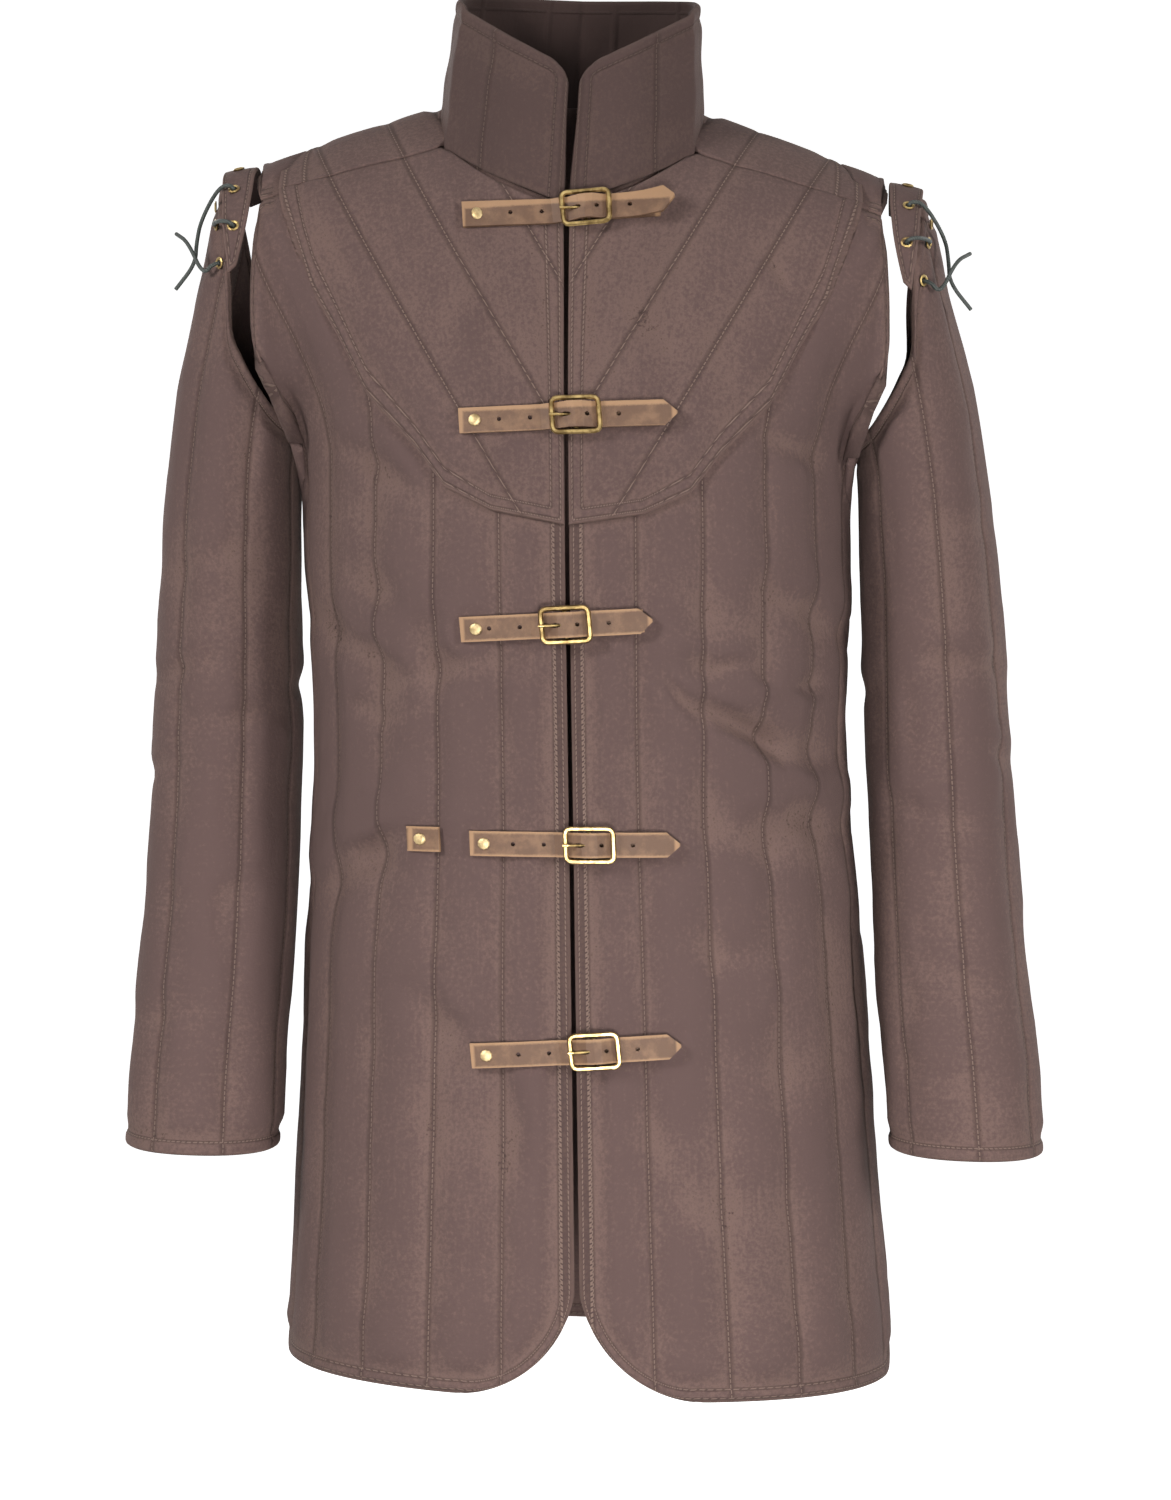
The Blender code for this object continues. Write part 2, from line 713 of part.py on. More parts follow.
def drop_temporary(obj):
    data = obj.data
    bpy.data.objects.remove(obj, do_unlink=True)
    if data.users == 0 and isinstance(data, bpy.types.Curve):
        bpy.data.curves.remove(data)


def rod(points, radius, closed=False, resolution=1):
    """A round rod along the points, as a mesh in the points' own unit."""
    curve = bpy.data.curves.new("rod", "CURVE")
    curve.dimensions = "3D"
    curve.bevel_depth = radius
    curve.bevel_resolution = resolution
    curve.use_fill_caps = True
    curve.twist_mode = "MINIMUM"
    line = curve.splines.new("POLY")
    line.points.add(len(points) - 1)
    for k, p in enumerate(points):
        line.points[k].co = (*p, 1)
    line.use_cyclic_u = closed
    obj = bpy.data.objects.new("rod", curve)
    cutters.objects.link(obj)
    bpy.context.view_layer.update()
    mesh = bpy.data.meshes.new_from_object(obj.evaluated_get(bpy.context.evaluated_depsgraph_get()))
    bm = bmesh.new()
    bm.from_mesh(mesh)
    bpy.data.meshes.remove(mesh)
    drop_temporary(obj)
    bmesh.ops.remove_doubles(bm, verts=bm.verts, dist=1e-5)
    bmesh.ops.recalc_face_normals(bm, faces=bm.faces)
    return bm


def join(bm, tools, operation):
    """Apply exact booleans with each tool mesh and return the result."""
    mesh = bpy.data.meshes.new("work")
    bm.to_mesh(mesh)
    bm.free()
    obj = bpy.data.objects.new("work", mesh)
    cutters.objects.link(obj)
    helpers = []
    for tool in tools:
        bmesh.ops.recalc_face_normals(tool, faces=tool.faces)
        data = bpy.data.meshes.new("tool")
        tool.to_mesh(data)
        tool.free()
        helper = bpy.data.objects.new("tool", data)
        cutters.objects.link(helper)
        change = obj.modifiers.new("join", "BOOLEAN")
        change.operation = operation
        change.solver = "EXACT"
        change.object = helper
        helpers.append(helper)
    bpy.context.view_layer.update()
    result = bpy.data.meshes.new_from_object(obj.evaluated_get(bpy.context.evaluated_depsgraph_get()))
    out = bmesh.new()
    out.from_mesh(result)
    bpy.data.meshes.remove(result)
    for item in [*helpers, obj]:
        data = item.data
        bpy.data.objects.remove(item, do_unlink=True)
        bpy.data.meshes.remove(data)
    return out


def strip(stations, half_width, wall):
    """A flat leather strip; each station gives a, c and the half width there."""
    bm = bmesh.new()
    count = len(stations) - 1
    bmesh.ops.create_grid(bm, x_segments=count, y_segments=1, size=1)
    spots = np.array([(s[0], s[1]) for s in stations], float)
    ahead = np.gradient(spots, axis=0)
    normals = np.stack([-ahead[:, 1], ahead[:, 0]], axis=1)
    normals /= np.linalg.norm(normals, axis=1)[:, None]
    index = bm.verts.layers.int.new("index")
    edge = bm.verts.layers.int.new("edge")
    for v in bm.verts:
        v[index] = round((v.co.x + 1) / 2 * count)
        v[edge] = 1 if v.co.y > 0 else -1
    grown = bmesh.ops.extrude_face_region(bm, geom=bm.faces[:])
    top = {g for g in grown["geom"] if isinstance(g, bmesh.types.BMVert)}
    for v in bm.verts:
        k = v[index]
        width = stations[k][2] if len(stations[k]) > 2 else half_width
        p = spots[k] + normals[k] * wall * (0.5 if v in top else -0.5)
        v.co = (p[0], width * v[edge], p[1])
    bmesh.ops.recalc_face_normals(bm, faces=bm.faces)
    return bm


def punch(a, c, radius_a, radius_b, sides=6):
    """A plug for punching a hole through leather."""
    bm = bmesh.new()
    bmesh.ops.create_cone(bm, cap_ends=True, segments=sides, radius1=1, radius2=1, depth=9)
    for v in bm.verts:
        v.co = (a + v.co.x * radius_a, v.co.y * radius_b, c + v.co.z)
    return bm


def dome(radius, height):
    """A shallow rivet head with its flat side at c = 0."""
    bm = bmesh.new()
    bmesh.ops.create_uvsphere(bm, u_segments=10, v_segments=6, radius=1)
    bmesh.ops.bisect_plane(bm, geom=bm.verts[:] + bm.edges[:] + bm.faces[:], plane_co=(0, 0, 0.02),
                                 plane_no=(0, 0, 1), clear_inner=True)
    rim = [e for e in bm.edges if e.is_boundary]
    bmesh.ops.holes_fill(bm, edges=rim, sides=0)
    for v in bm.verts:
        v.co = (v.co.x * radius, v.co.y * radius, (v.co.z - 0.02) * height)
    return bm


def shifted(bm, a, b, c):
    for v in bm.verts:
        v.co += Vector((a, b, c))
    return bm


OVER_BAR = ((-22, 1.7), (-17, 3.6), (-13.5, 4.1), (-10, 5.4), (-4.5, 8.6), (0, 9.2), (4.5, 8.6), (10, 5.4),
            (13.5, 4.1), (17, 3.9), (24, 4.2))


def build_strap(row):
    number, left, tip, tip_lift = row[0], row[5], row[7], row[8]
    place = seat(row)
    flat = [a for a in np.arange(left, -24, 9.0)]
    half = STRAP_WIDTH / 2
    stations = [(a, 1.35, half) for a in flat] + [(a, c, half) for a, c in OVER_BAR]
    for f in (0.25, 0.5, 0.75):
        a = 24 + (tip - 9 - 24) * f
        stations.append((a, 4.4 + (tip_lift - 4.4) * f**2 * 0.8 if tip_lift > 5 else 4.4, half))
    stations.append((tip - 8, 4.4 if tip_lift < 5 else tip_lift * 0.8, half))
    stations.append((tip, tip_lift if tip_lift > 5 else 4.2, 0.8))
    bm = strip(stations, half, STRAP_WALL)
    holes = [punch(a, path_height(stations, a), 1.5, 1.5) for a in HOLES if a < tip - 10]
    holes.append(punch(-6.5, 7.4, 4.1, 1.5, 8))
    bm = join(bm, holes, "DIFFERENCE")
    settle(bm, place)
    finish(f"strap_{number}", bm, LEATHER, 0.6)
    rivet = shifted(dome(4.0, 1.7), row[6], 0, 1.35 + STRAP_WALL / 2 + 0.3)
    settle(rivet, place)
    finish(f"strap_rivet_{number}", rivet, BRASS, 0.3, 1.0, 60)


def build_buckle(row):
    number, end, far = row[0], row[9], row[10]
    place = seat(row)
    corners = []
    for sx, sy in ((1, 1), (-1, 1), (-1, -1), (1, -1)):
        start = {(1, 1): 0, (-1, 1): 90, (-1, -1): 180, (1, -1): 270}[(sx, sy)]
        for step in (0, 30, 60, 90):
            a = math.radians(start + step)
            corners.append((sx * (FRAME_HALF - 3.5) + 3.5 * math.cos(a), sy * (RAIL_HALF - 3.5) + 3.5 * math.sin(a),
                            FRAME_OUT))
    frame = rod(corners, FRAME_ROD, closed=True)
    bends = [(0, -RAIL_HALF, FRAME_OUT), (0, -9.4, 5.0), (0, -8.7, BAR_OUT)]
    bar = rod(bends + [(0, -b, c) for _, b, c in reversed(bends)], BAR_ROD)
    frame = join(frame, [bar], "UNION")
    settle(frame, place)
    finish(f"buckle_{number}", frame, BRASS, 0.3, 1.0, 60)

    loop = [(end, 1.0), (end * 0.66, 1.0), (end * 0.33, 1.0), (6, 1.0), (2.5, 1.3)]
    middle = LOOP_WALL / 2 + BAR_ROD + 0.6
    for degrees in (-90, -125, -160, -195, -230, -265, -300, -335, -375):
        a = math.radians(degrees)
        loop.append((middle * math.cos(a), BAR_OUT + middle * math.sin(a)))
    bm = strip(loop, LOOP_HALF, LOOP_WALL)
    slot = bmesh.new()
    bmesh.ops.create_cube(slot, size=1)
    for v in slot.verts:
        v.co = (v.co.x * 9 - 0.4, v.co.y * 3.2, 6.3 + v.co.z * 5.6)
    bm = join(bm, [slot], "DIFFERENCE")
    settle(bm, place)
    finish(f"buckle_strap_{number}", bm, LEATHER, 0.6)
    head = shifted(dome(3.6, 1.1), far, 0, 1.0 + LOOP_WALL / 2 + 0.4)
    settle(head, place)
    finish(f"buckle_rivet_{number}", head, BRASS, 0.3, 1.0, 60)

    hook = [(2.5, 0, 4.1), (2.3, 0, 5.4), (1.3, 0, 6.5), (-0.5, 0, 6.85), (-3.5, 0, 6.4), (-9.0, 0, 8.2),
            (-13.2, 0, 9.5), (-16.6, 0, 9.7)]
    bm = rod(hook, 0.9)
    settle(bm, place)
    finish(f"prong_{number}", bm, BRASS, 0.3, 1.0, 60)


for strap_row in STRAP_ROWS:
    build_strap(strap_row)
    build_buckle(strap_row)

stub_row = (0, -94.0, -473, 2.0, 3.4)
stub = strip([(a, 1.35, STRAP_WIDTH / 2) for a in (-10.5, -3.5, 3.5, 10.5)], STRAP_WIDTH / 2, STRAP_WALL)
settle(stub, seat(stub_row))
finish("stub_tab", stub, LEATHER, 0.6)
stub_head = shifted(dome(4.0, 1.7), -2.0, 0, 1.35 + STRAP_WALL / 2 + 0.3)
settle(stub_head, seat(stub_row))
finish("stub_rivet", stub_head, BRASS, 0.3, 1.0, 60)


# Shoulder tabs, eyelets and laces

TAB_WALL = 3.0
TAB_LIFT = 1.5
EYELET_SEAT = 1.1
TAB_ROWS = (
    # t, inner x, y, z, outer x, y, z
    (0.00, 209.5, 42, -57, 221, 40, -62),
    (0.20, 209.5, 20, -45, 229, 20, -51),
    (0.40, 209.5, 0, -40.5, 232, 0, -45),
    (0.55, 209.5, -20, -45, 231, -20, -50),
    (0.70, 209.5, -38, -58, 229, -38, -62),
    (0.85, 211.5, -55, -79, 227, -56, -82),
    (1.00, 216.5, -68, -107, 222, -69, -112),
)
tab_edge = smooth_through([r[0] for r in TAB_ROWS], [r[1:] for r in TAB_ROWS])


def tab_point(t, f, lift):
    """Point of a shoulder tab; t runs from the back to the front tip, f from the armhole outwards."""
    def at(t, f):
        row = tab_edge(t)
        return row[:3] * (1 - f) + row[3:] * f

    along = at(min(t + 0.02, 1), f) - at(max(t - 0.02, 0), f)
    across = at(t, 1.0) - at(t, 0.0)
    n = np.cross(along, across)
    n = n / np.linalg.norm(n)
    if n[2] < 0 and n[1] > 0 or n[2] < -0.5:
        n = -n
    return at(t, f) + n * lift, n


def cut_holes(obj_bm, spots, radius):
    tools = []
    for p, n in spots:
        bm = bmesh.new()
        bmesh.ops.create_cone(bm, cap_ends=True, segments=8, radius1=radius * MM, radius2=radius * MM, depth=0.016)
        turn = Vector((0, 0, 1)).rotation_difference(n).to_matrix()
        for v in bm.verts:
            v.co = turn @ v.co + p
        tools.append(bm)
    return join(obj_bm, tools, "DIFFERENCE")


def recut(obj, spots, radius):
    """Punch round holes through a finished piece."""
    bm = bmesh.new()
    bm.from_mesh(obj.data)
    out = cut_holes(bm, spots, radius)
    out.to_mesh(obj.data)
    out.free()
    obj.data.shade_smooth()
    obj.data.set_sharp_from_angle(angle=math.radians(40))


def eyelet(name, p, n, level):
    """A rolled brass ring lying on the cloth round a hole."""
    bm = bmesh.new()
    made = bmesh.ops.create_circle(bm, cap_ends=False, segments=5, radius=1)
    for v in made["verts"]:
        v.co = Vector((3.15 + v.co.x * 0.95, 0, v.co.y * 0.75)) * MM
    bmesh.ops.spin(bm, geom=bm.verts[:] + bm.edges[:], cent=(0, 0, 0), axis=(0, 0, 1), angle=math.tau, steps=10,
                   use_merge=True)
    bmesh.ops.remove_doubles(bm, verts=bm.verts, dist=1e-7)
    turn = Vector((0, 0, 1)).rotation_difference(n).to_matrix()
    for v in bm.verts:
        v.co = turn @ v.co + p + n * (level + 0.80) * MM
    return finish(name, bm, BRASS, 0.35, 1.0, 70)


TAB_EYELETS = ((0.47, 0.52), (0.68, 0.58), (0.86, 0.52))
SLEEVE_EYELETS = ((18.0, -12.0), (36.0, -12.0), (55.0, -12.0))


def build_shoulder(side, word):
    def flip(v):
        return np.array([v[0] * side, v[1], v[2]])

    def place(i, j, layer):
        return flip(tab_point(i / 9, j / 2, TAB_LIFT + TAB_WALL * layer)[0])

    tab = cloth(f"shoulder_tab_{word}", 9, 2, place)
    tab_spots = []
    for t, f in TAB_EYELETS:
        p, n = tab_point(t, f, TAB_LIFT + TAB_WALL)
        p, n = flip(p), Vector(flip(n))
        tab_spots.append((lean(p), n))
    recut(tab, [(p - n * 1.5 * MM, n) for p, n in tab_spots], 2.2)
    sleeve_spots = []
    for degrees, drop in SLEEVE_EYELETS:
        z = head_height(degrees) + drop
        p = sleeve_point(degrees, z, EYELET_SEAT)
        q = sleeve_point(degrees, z, EYELET_SEAT + 1)
        n = Vector(flip(q - p)).normalized()
        sleeve_spots.append((lean(flip(p)), n))
    sleeve = bpy.data.objects[f"sleeve_{word}"]
    recut(sleeve, [(p - n * 3 * MM, n) for p, n in sleeve_spots], 2.2)
    for k, (p, n) in enumerate(tab_spots, 1):
        eyelet(f"tab_eyelet_{word}_{k}", p, n, 0.3)
    for k, (p, n) in enumerate(sleeve_spots, 1):
        eyelet(f"sleeve_eyelet_{word}_{k}", p, n, 0.3)
    return tab_spots, sleeve_spots


shoulder_spots = {side: build_shoulder(side, word) for side, word in ((-1, "right"), (1, "left"))}


LACE_RADIUS = 1.35
LACE_OUT = 4.6
TAB_UNDER = -5.4
SLEEVE_UNDER = -9.0


def build_lace(side, word):
    """A cord laced through the three pairs of eyelets, with both free ends hanging outside the sleeve."""
    tab_spots, sleeve_spots = shoulder_spots[side]

    def by(spot, lift):
        p, n = spot
        return p + n * lift * MM

    def free(x, y, z):
        return lean((x * side, y, z))

    def over(degrees, z, lift):
        p = sleeve_point(degrees, z, SLEEVE_PUFF + lift)
        return free(*p)

    def between(a, b, lift):
        p, q = by(a, LACE_OUT), by(b, LACE_OUT)
        return p * 0.7 + q * 0.3 + (a[1] + b[1]).normalized() * lift * MM

    t1, t2, t3 = tab_spots
    s1, s2, s3 = sleeve_spots
    stops = [free(262, -30, -84), free(252, -46, -90), over(50, -112, 7.0), by(s3, LACE_OUT + 1),
             by(s3, SLEEVE_UNDER), by(s3, SLEEVE_UNDER) + Vector((-6 * side, 4, 26)) * MM,
             by(t3, TAB_UNDER - 2), by(t3, TAB_UNDER), by(t3, LACE_OUT), between(t3, s2, 6),
             by(s2, LACE_OUT), by(s2, SLEEVE_UNDER), by(t2, TAB_UNDER - 2), by(t2, TAB_UNDER),
             by(t2, LACE_OUT), between(t2, s1, 6), over(24, -74, 8.0), over(34, -90, 10.0),
             over(38, -104, 9.0), free(262, -38, -121)]
    curve = bpy.data.curves.new(f"lace_{word}", "CURVE")
    curve.dimensions = "3D"
    curve.bevel_depth = LACE_RADIUS * MM
    curve.bevel_resolution = 2
    curve.use_fill_caps = True
    line = curve.splines.new("POLY")
    line.points.add(len(stops) - 1)
    for k, p in enumerate(stops):
        line.points[k].co = (*p, 1)
    obj = bpy.data.objects.new(f"lace_{word}", curve)
    obj.data.materials.append(material(f"lace_{word}", CORD, 0.8))
    collection.objects.link(obj)
    return sum((b - a).length for a, b in zip(stops, stops[1:]))


for lace_side, lace_word in ((-1, "right"), (1, "left")):
    build_lace(lace_side, lace_word)
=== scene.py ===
"""Looks of the gambeson: brown quilted canvas, tan leather straps, brass buckles and dark laces."""
import math

import bmesh
import bpy
import numpy as np
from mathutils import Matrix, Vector


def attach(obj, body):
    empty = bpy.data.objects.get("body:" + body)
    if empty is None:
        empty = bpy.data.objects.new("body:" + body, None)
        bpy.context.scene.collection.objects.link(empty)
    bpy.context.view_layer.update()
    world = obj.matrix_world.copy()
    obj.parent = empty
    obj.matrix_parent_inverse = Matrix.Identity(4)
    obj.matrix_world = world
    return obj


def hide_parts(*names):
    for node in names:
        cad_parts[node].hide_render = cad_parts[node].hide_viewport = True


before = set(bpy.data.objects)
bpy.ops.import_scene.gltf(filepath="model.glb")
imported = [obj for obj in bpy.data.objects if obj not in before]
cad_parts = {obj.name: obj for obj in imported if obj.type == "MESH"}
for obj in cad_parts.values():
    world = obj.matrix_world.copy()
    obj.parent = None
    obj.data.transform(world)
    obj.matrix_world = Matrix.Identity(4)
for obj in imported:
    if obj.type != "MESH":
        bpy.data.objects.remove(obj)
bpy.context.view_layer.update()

# Fronts. Two panels of brown cotton canvas over wadding, quilted in vertical channels about 49 mm wide.
# They meet edge to edge at the centre, and every free edge is turned under and topstitched.
# Cloth is measured in mm from the base of the neck, until lean() turns it into metres.
MM = 0.001
WALL = 4.0
PUFF = 3.0
CLOTH_PUFF = 3.9
CREASE_GAIN = 1.5
BAND = 9.5
SEAM_GAP = 0.25
FRONT_GAP = 1.4
# A column's place is its share of the half girth: the spans turn shares into mm at the front and at the side.
FRONT_SPAN = 262.0
SIDE_SPAN = 290.0
HEM_FLARE = 1.14
CHANNEL = 0.1725
QUILT = 49.0
MOST_LIFT = 5.0
UNDER_STRAP = 2.9
RISE_MARK = (-0.3, 1)
SECTION_POWER = 2.3
ARMPIT_Z = -235.0
HEM_Z = -830.0
FRONT_CORNER = 85.0
SLIT_CORNER = 38.0
LEAN_X = -0.0143
LEAN_Z = -0.028
CANVAS_DARK = "#382A27"
CANVAS_MID = "#554340"
CANVAS_LIGHT = "#6A554E"
THREAD = "#7C685E"
WEAVE_PITCH = 0.9
STITCH_HALF = 1.7
STITCH_FILL = 1.15
THREAD_HALF = 0.34
BODY_ROWS = (
    # z, half width, front, back
    (-200, 179, 126, 111),
    (-235, 181, 128, 112),
    (-300, 181, 136, 112),
    (-390, 178, 137, 106),
    (-470, 180, 136, 108),
    (-560, 187, 138, 118),
    (-680, 194, 142, 128),
    (-780, 202, 146, 132),
    (-840, 206, 148, 133),
)
FRONT_TOP = (
    # share, x, y, z, edge direction, reach, rise
    (0.000, 0, -80, -62, 0, -0.2, -0.98, 60, 80),
    (0.115, 40, -72, -46, 0, -0.38, -0.92, 55, 80),
    (0.230, 78, -42, -26, 0, -0.78, -0.62, 60, 85),
    (0.6325, 204, -42, -60, 0, -0.78, -0.62, 40, 70),
    (0.690, 207, -62, -90, -0.1, -0.45, -0.88, 35, 60),
    (0.7475, 208, -74, -125, -0.15, -0.25, -0.95, 30, 55),
    (0.805, 207, -77, -155, -0.25, -0.1, -0.96, 28, 50),
    (0.8625, 198, -73, -178, -0.3, 0, -0.95, 26, 45),
    (0.920, 187, -57, -198, -0.2, 0.05, -0.97, 25, 40),
    (0.960, 181, -31, -217, -0.1, 0, -0.99, 25, 35),
    (1.000, 178, 0, -232, 0, 0, -1.00, 25, 30),
)
FRONT_CORNERS = (0.230, 0.6325)
MANTLE_EDGE = (
    # x, z
    (0, -269), (48, -261), (78, -247), (97, -222), (129, -189), (148, -152), (165, -124), (172, -105),
    (190, -63), (195, -30),
)
STRAP_ROWS = (
    # x, z, rise in degrees, cloth level, left end, right end
    (13.0, -67, 4.5, 5.0, -80, 56),
    (6.5, -200, 3.7, 4.7, -74, 63),
    (-1.0, -332, 4.5, 3.4, -67, 54),
    (12.0, -472, 1.5, 3.4, -76, 56),
    (13.5, -604, 4.9, 3.4, -79, 54),
)
FRONT_CREASES = (
    # side, points (x, z), half width, depth
    (1, ((58, -360), (72, -378), (86, -392)), 5.0, 3.2),
    (1, ((80, -376), (104, -392), (122, -401), (138, -418), (158, -424)), 6.5, 4.2),
    (1, ((90, -357), (112, -352)), 5.0, 2.2),
    (1, ((116, -362), (134, -366)), 4.5, 2.4),
    (1, ((138, -371), (164, -366)), 5.0, 2.8),
    (1, ((118, -408), (140, -436), (150, -470)), 8.0, 2.2),
    (1, ((120, -204), (165, -224)), 7.0, 2.6),
    (1, ((24, -300), (18, -330), (26, -356)), 5.0, 2.0),
    (1, ((18, -446), (27, -470)), 5.0, 2.2),
    (1, ((60, -520), (100, -545), (140, -540)), 12.0, 1.8),
    (1, ((44, -640), (70, -690), (80, -730)), 10.0, 1.6),
    (1, ((60, -350), (95, -360), (136, -352)), 7.0, 3.6),
    (1, ((80, -384), (121, -402), (172, -418)), 10.0, 4.4),
    (1, ((184, -346), (148, -320), (112, -300)), 10.0, 3.2),
    (1, ((178, -468), (146, -454), (106, -464)), 11.0, 3.2),
    (-1, ((-176, -522), (-130, -484), (-86, -456)), 11.0, 4.6),
    (-1, ((-146, -392), (-84, -364), (-32, -352)), 11.0, 4.0),
    (-1, ((-176, -328), (-130, -356), (-108, -392)), 11.0, 3.2),
    (-1, ((-148, -362), (-112, -358), (-72, -326)), 10.0, 3.6),
    (-1, ((-156, -300), (-118, -318), (-74, -372)), 12.0, 2.4),
    (1, ((60, -300), (100, -330), (150, -338)), 13.0, 2.2),
    (1, ((70, -440), (110, -470), (158, -478)), 13.0, 2.4),
    (-1, ((-160, -216), (-120, -236), (-92, -262)), 8.0, 2.4),
    (-1, ((-150, -388), (-118, -398), (-84, -386)), 7.0, 2.4),
    (-1, ((-170, -470), (-128, -492), (-90, -500)), 12.0, 2.0),
    (-1, ((-120, -560), (-80, -596), (-60, -640)), 11.0, 1.6),
    (-1, ((-34, -330), (-24, -352), (-30, -380)), 5.0, 1.8),
    (-1, ((-50, -610), (-38, -650), (-44, -700)), 9.0, 1.4),
)


def smooth_through(rows):
    """A smooth function through table rows, from their first number to the rest, level beyond the ends."""
    rows = np.asarray(rows, float)
    if rows[0, 0] > rows[-1, 0]:
        rows = rows[::-1]
    xs, ys = rows[:, 0], rows[:, 1:]
    slopes = np.gradient(ys, xs, axis=0)

    def value(x):
        x = min(max(x, xs[0]), xs[-1])
        k = int(min(max(np.searchsorted(xs, x) - 1, 0), len(xs) - 2))
        step = xs[k + 1] - xs[k]
        t = (x - xs[k]) / step
        return ((2 * t**3 - 3 * t**2 + 1) * ys[k] + (t**3 - 2 * t**2 + t) * step * slopes[k]
                + (3 * t**2 - 2 * t**3) * ys[k + 1] + (t**3 - t**2) * step * slopes[k + 1])

    return value


def smooth_between(rows, corners):
    """Join smooth runs of table rows that meet at corners."""
    rows = np.asarray(rows, float)
    breaks = [rows[0, 0], *corners, rows[-1, 0]]
    runs = []
    for low, high in zip(breaks, breaks[1:]):
        part = rows[(rows[:, 0] >= low - 1e-9) & (rows[:, 0] <= high + 1e-9)]
        runs.append((high, smooth_through(part)))

    def value(u):
        for high, run in runs:
            if u <= high:
                return run(u)
        return runs[-1][1](u)

    return value


def quarter_section():
    """Unit coordinates of a quarter of the body section at even shares of its length."""
    phi = np.linspace(0, math.pi / 2, 3000)
    x = np.sin(phi) ** (2 / SECTION_POWER)
    y = np.cos(phi) ** (2 / SECTION_POWER)
    length = np.concatenate([[0], np.cumsum(np.hypot(180 * np.diff(x), 137 * np.diff(y)))])
    even = np.linspace(0, 1, 401)
    return even, np.interp(even, length / length[-1], x), np.interp(even, length / length[-1], y)


SHARE, UNIT_X, UNIT_Y = quarter_section()
body_size = smooth_through(BODY_ROWS)


def hem_height(u, x, front):
    """Height of the lower edge, rounded at the centre front and at the side slits."""
    z = HEM_Z
    if front and x < FRONT_CORNER:
        z += FRONT_CORNER * (1 - math.sqrt(1 - (1 - x / FRONT_CORNER) ** 2))
    from_side = (1 - u) * SIDE_SPAN
    if from_side < SLIT_CORNER:
        z += SLIT_CORNER * (1 - math.sqrt(max(1 - (1 - from_side / SLIT_CORNER) ** 2, 0)))
    return z


class Panel:
    """The stitched level of a front or back panel; u runs from the centre to the side, s down each column."""

    def __init__(self, facing, top_rows, corners):
        self.facing = facing
        self.top = smooth_between(top_rows, corners)
        self.cache = {}

    def low(self, u, z):
        half, front, back = body_size(z)
        depth = front if self.facing < 0 else back
        cx = np.interp(u, SHARE, UNIT_X)
        cy = np.interp(u, SHARE, UNIT_Y)
        return np.array([(half - PUFF) * cx, self.facing * (depth - PUFF) * cy, z])

    def column(self, u):
        u = min(abs(u), 1.0)
        key = round(u, 5)
        if key in self.cache:
            return self.cache[key]
        row = self.top(u)
        start, way, reach, rise = row[0:3], row[3:6], row[6], row[7]
        way = way / np.linalg.norm(way)
        join = min(ARMPIT_Z, start[2] - 80)
        end = self.low(u, join)
        climb = (self.low(u, join) - self.low(u, join - 20)) / 20
        c1 = start + way * reach
        c2 = end + climb * rise
        t = np.linspace(0, 1, 45)[:, None]
        upper = (1 - t) ** 3 * start + 3 * (1 - t) ** 2 * t * c1 + 3 * (1 - t) * t**2 * c2 + t**3 * end
        hem = hem_height(u, end[0] * HEM_FLARE, self.facing < 0)
        lower = np.array([self.low(u, z) for z in np.linspace(join, hem, 50)[1:]])
        points = np.vstack([upper, lower])
        length = np.concatenate([[0], np.cumsum(np.linalg.norm(np.diff(points, axis=0), axis=1))])
        self.cache[key] = (points, length)
        return self.cache[key]

    def size(self, u):
        return self.column(u)[1][-1]

    def grid(self, shares, depths):
        """Points and outward directions at each share and depth."""
        spots = np.empty((*depths.shape, 3))
        for i, u in enumerate(shares):
            points, length = self.column(u)
            for k in range(3):
                spots[i, :, k] = np.interp(depths[i], length, points[:, k])
            if u < 0:
                spots[i, :, 0] *= -1
        out = self.facing * np.cross(np.gradient(spots, axis=0), np.gradient(spots, axis=1))
        out /= np.maximum(np.linalg.norm(out, axis=2, keepdims=True), 1e-9)
        return spots, out


def noise(x, y, seed):
    """Smooth random hills between -1 and 1, one hill to each unit of x and y."""
    table = np.random.default_rng(seed).uniform(-1, 1, (97, 89))
    xi, yi = np.floor(x).astype(int), np.floor(y).astype(int)
    fx, fy = x - xi, y - yi
    fx, fy = fx * fx * (3 - 2 * fx), fy * fy * (3 - 2 * fy)
    low = table[xi % 97, yi % 89] * (1 - fx) + table[(xi + 1) % 97, yi % 89] * fx
    high = table[xi % 97, (yi + 1) % 89] * (1 - fx) + table[(xi + 1) % 97, (yi + 1) % 89] * fx
    return low * (1 - fy) + high * fy


def ramp(x):
    """Smooth step from 0 to 1."""
    x = np.clip(x, 0, 1)
    return x * x * (3 - 2 * x)


def spread(values, like):
    """One value for each column, repeated down its rows."""
    return values[:, None] * np.ones_like(like)


def piped(edge, height, width=BAND):
    """Round swell of the turned band along a free edge."""
    return height * np.sqrt(np.maximum(1 - ((edge - width / 2) / (width / 2)) ** 2, 0))


def pressed(lift, x, z, side, straps, most):
    """Hold the cloth down where a strap lies on it."""
    for sx, sz, rise, _, left, right in straps:
        gap = np.abs(z - (sz + (x * side - sx) * math.tan(math.radians(rise))))
        under = (gap < 12) & (x * side > sx + left - 4) & (x * side < sx + right + 4)
        lift = np.where(under, np.minimum(lift, most), lift)
    return lift


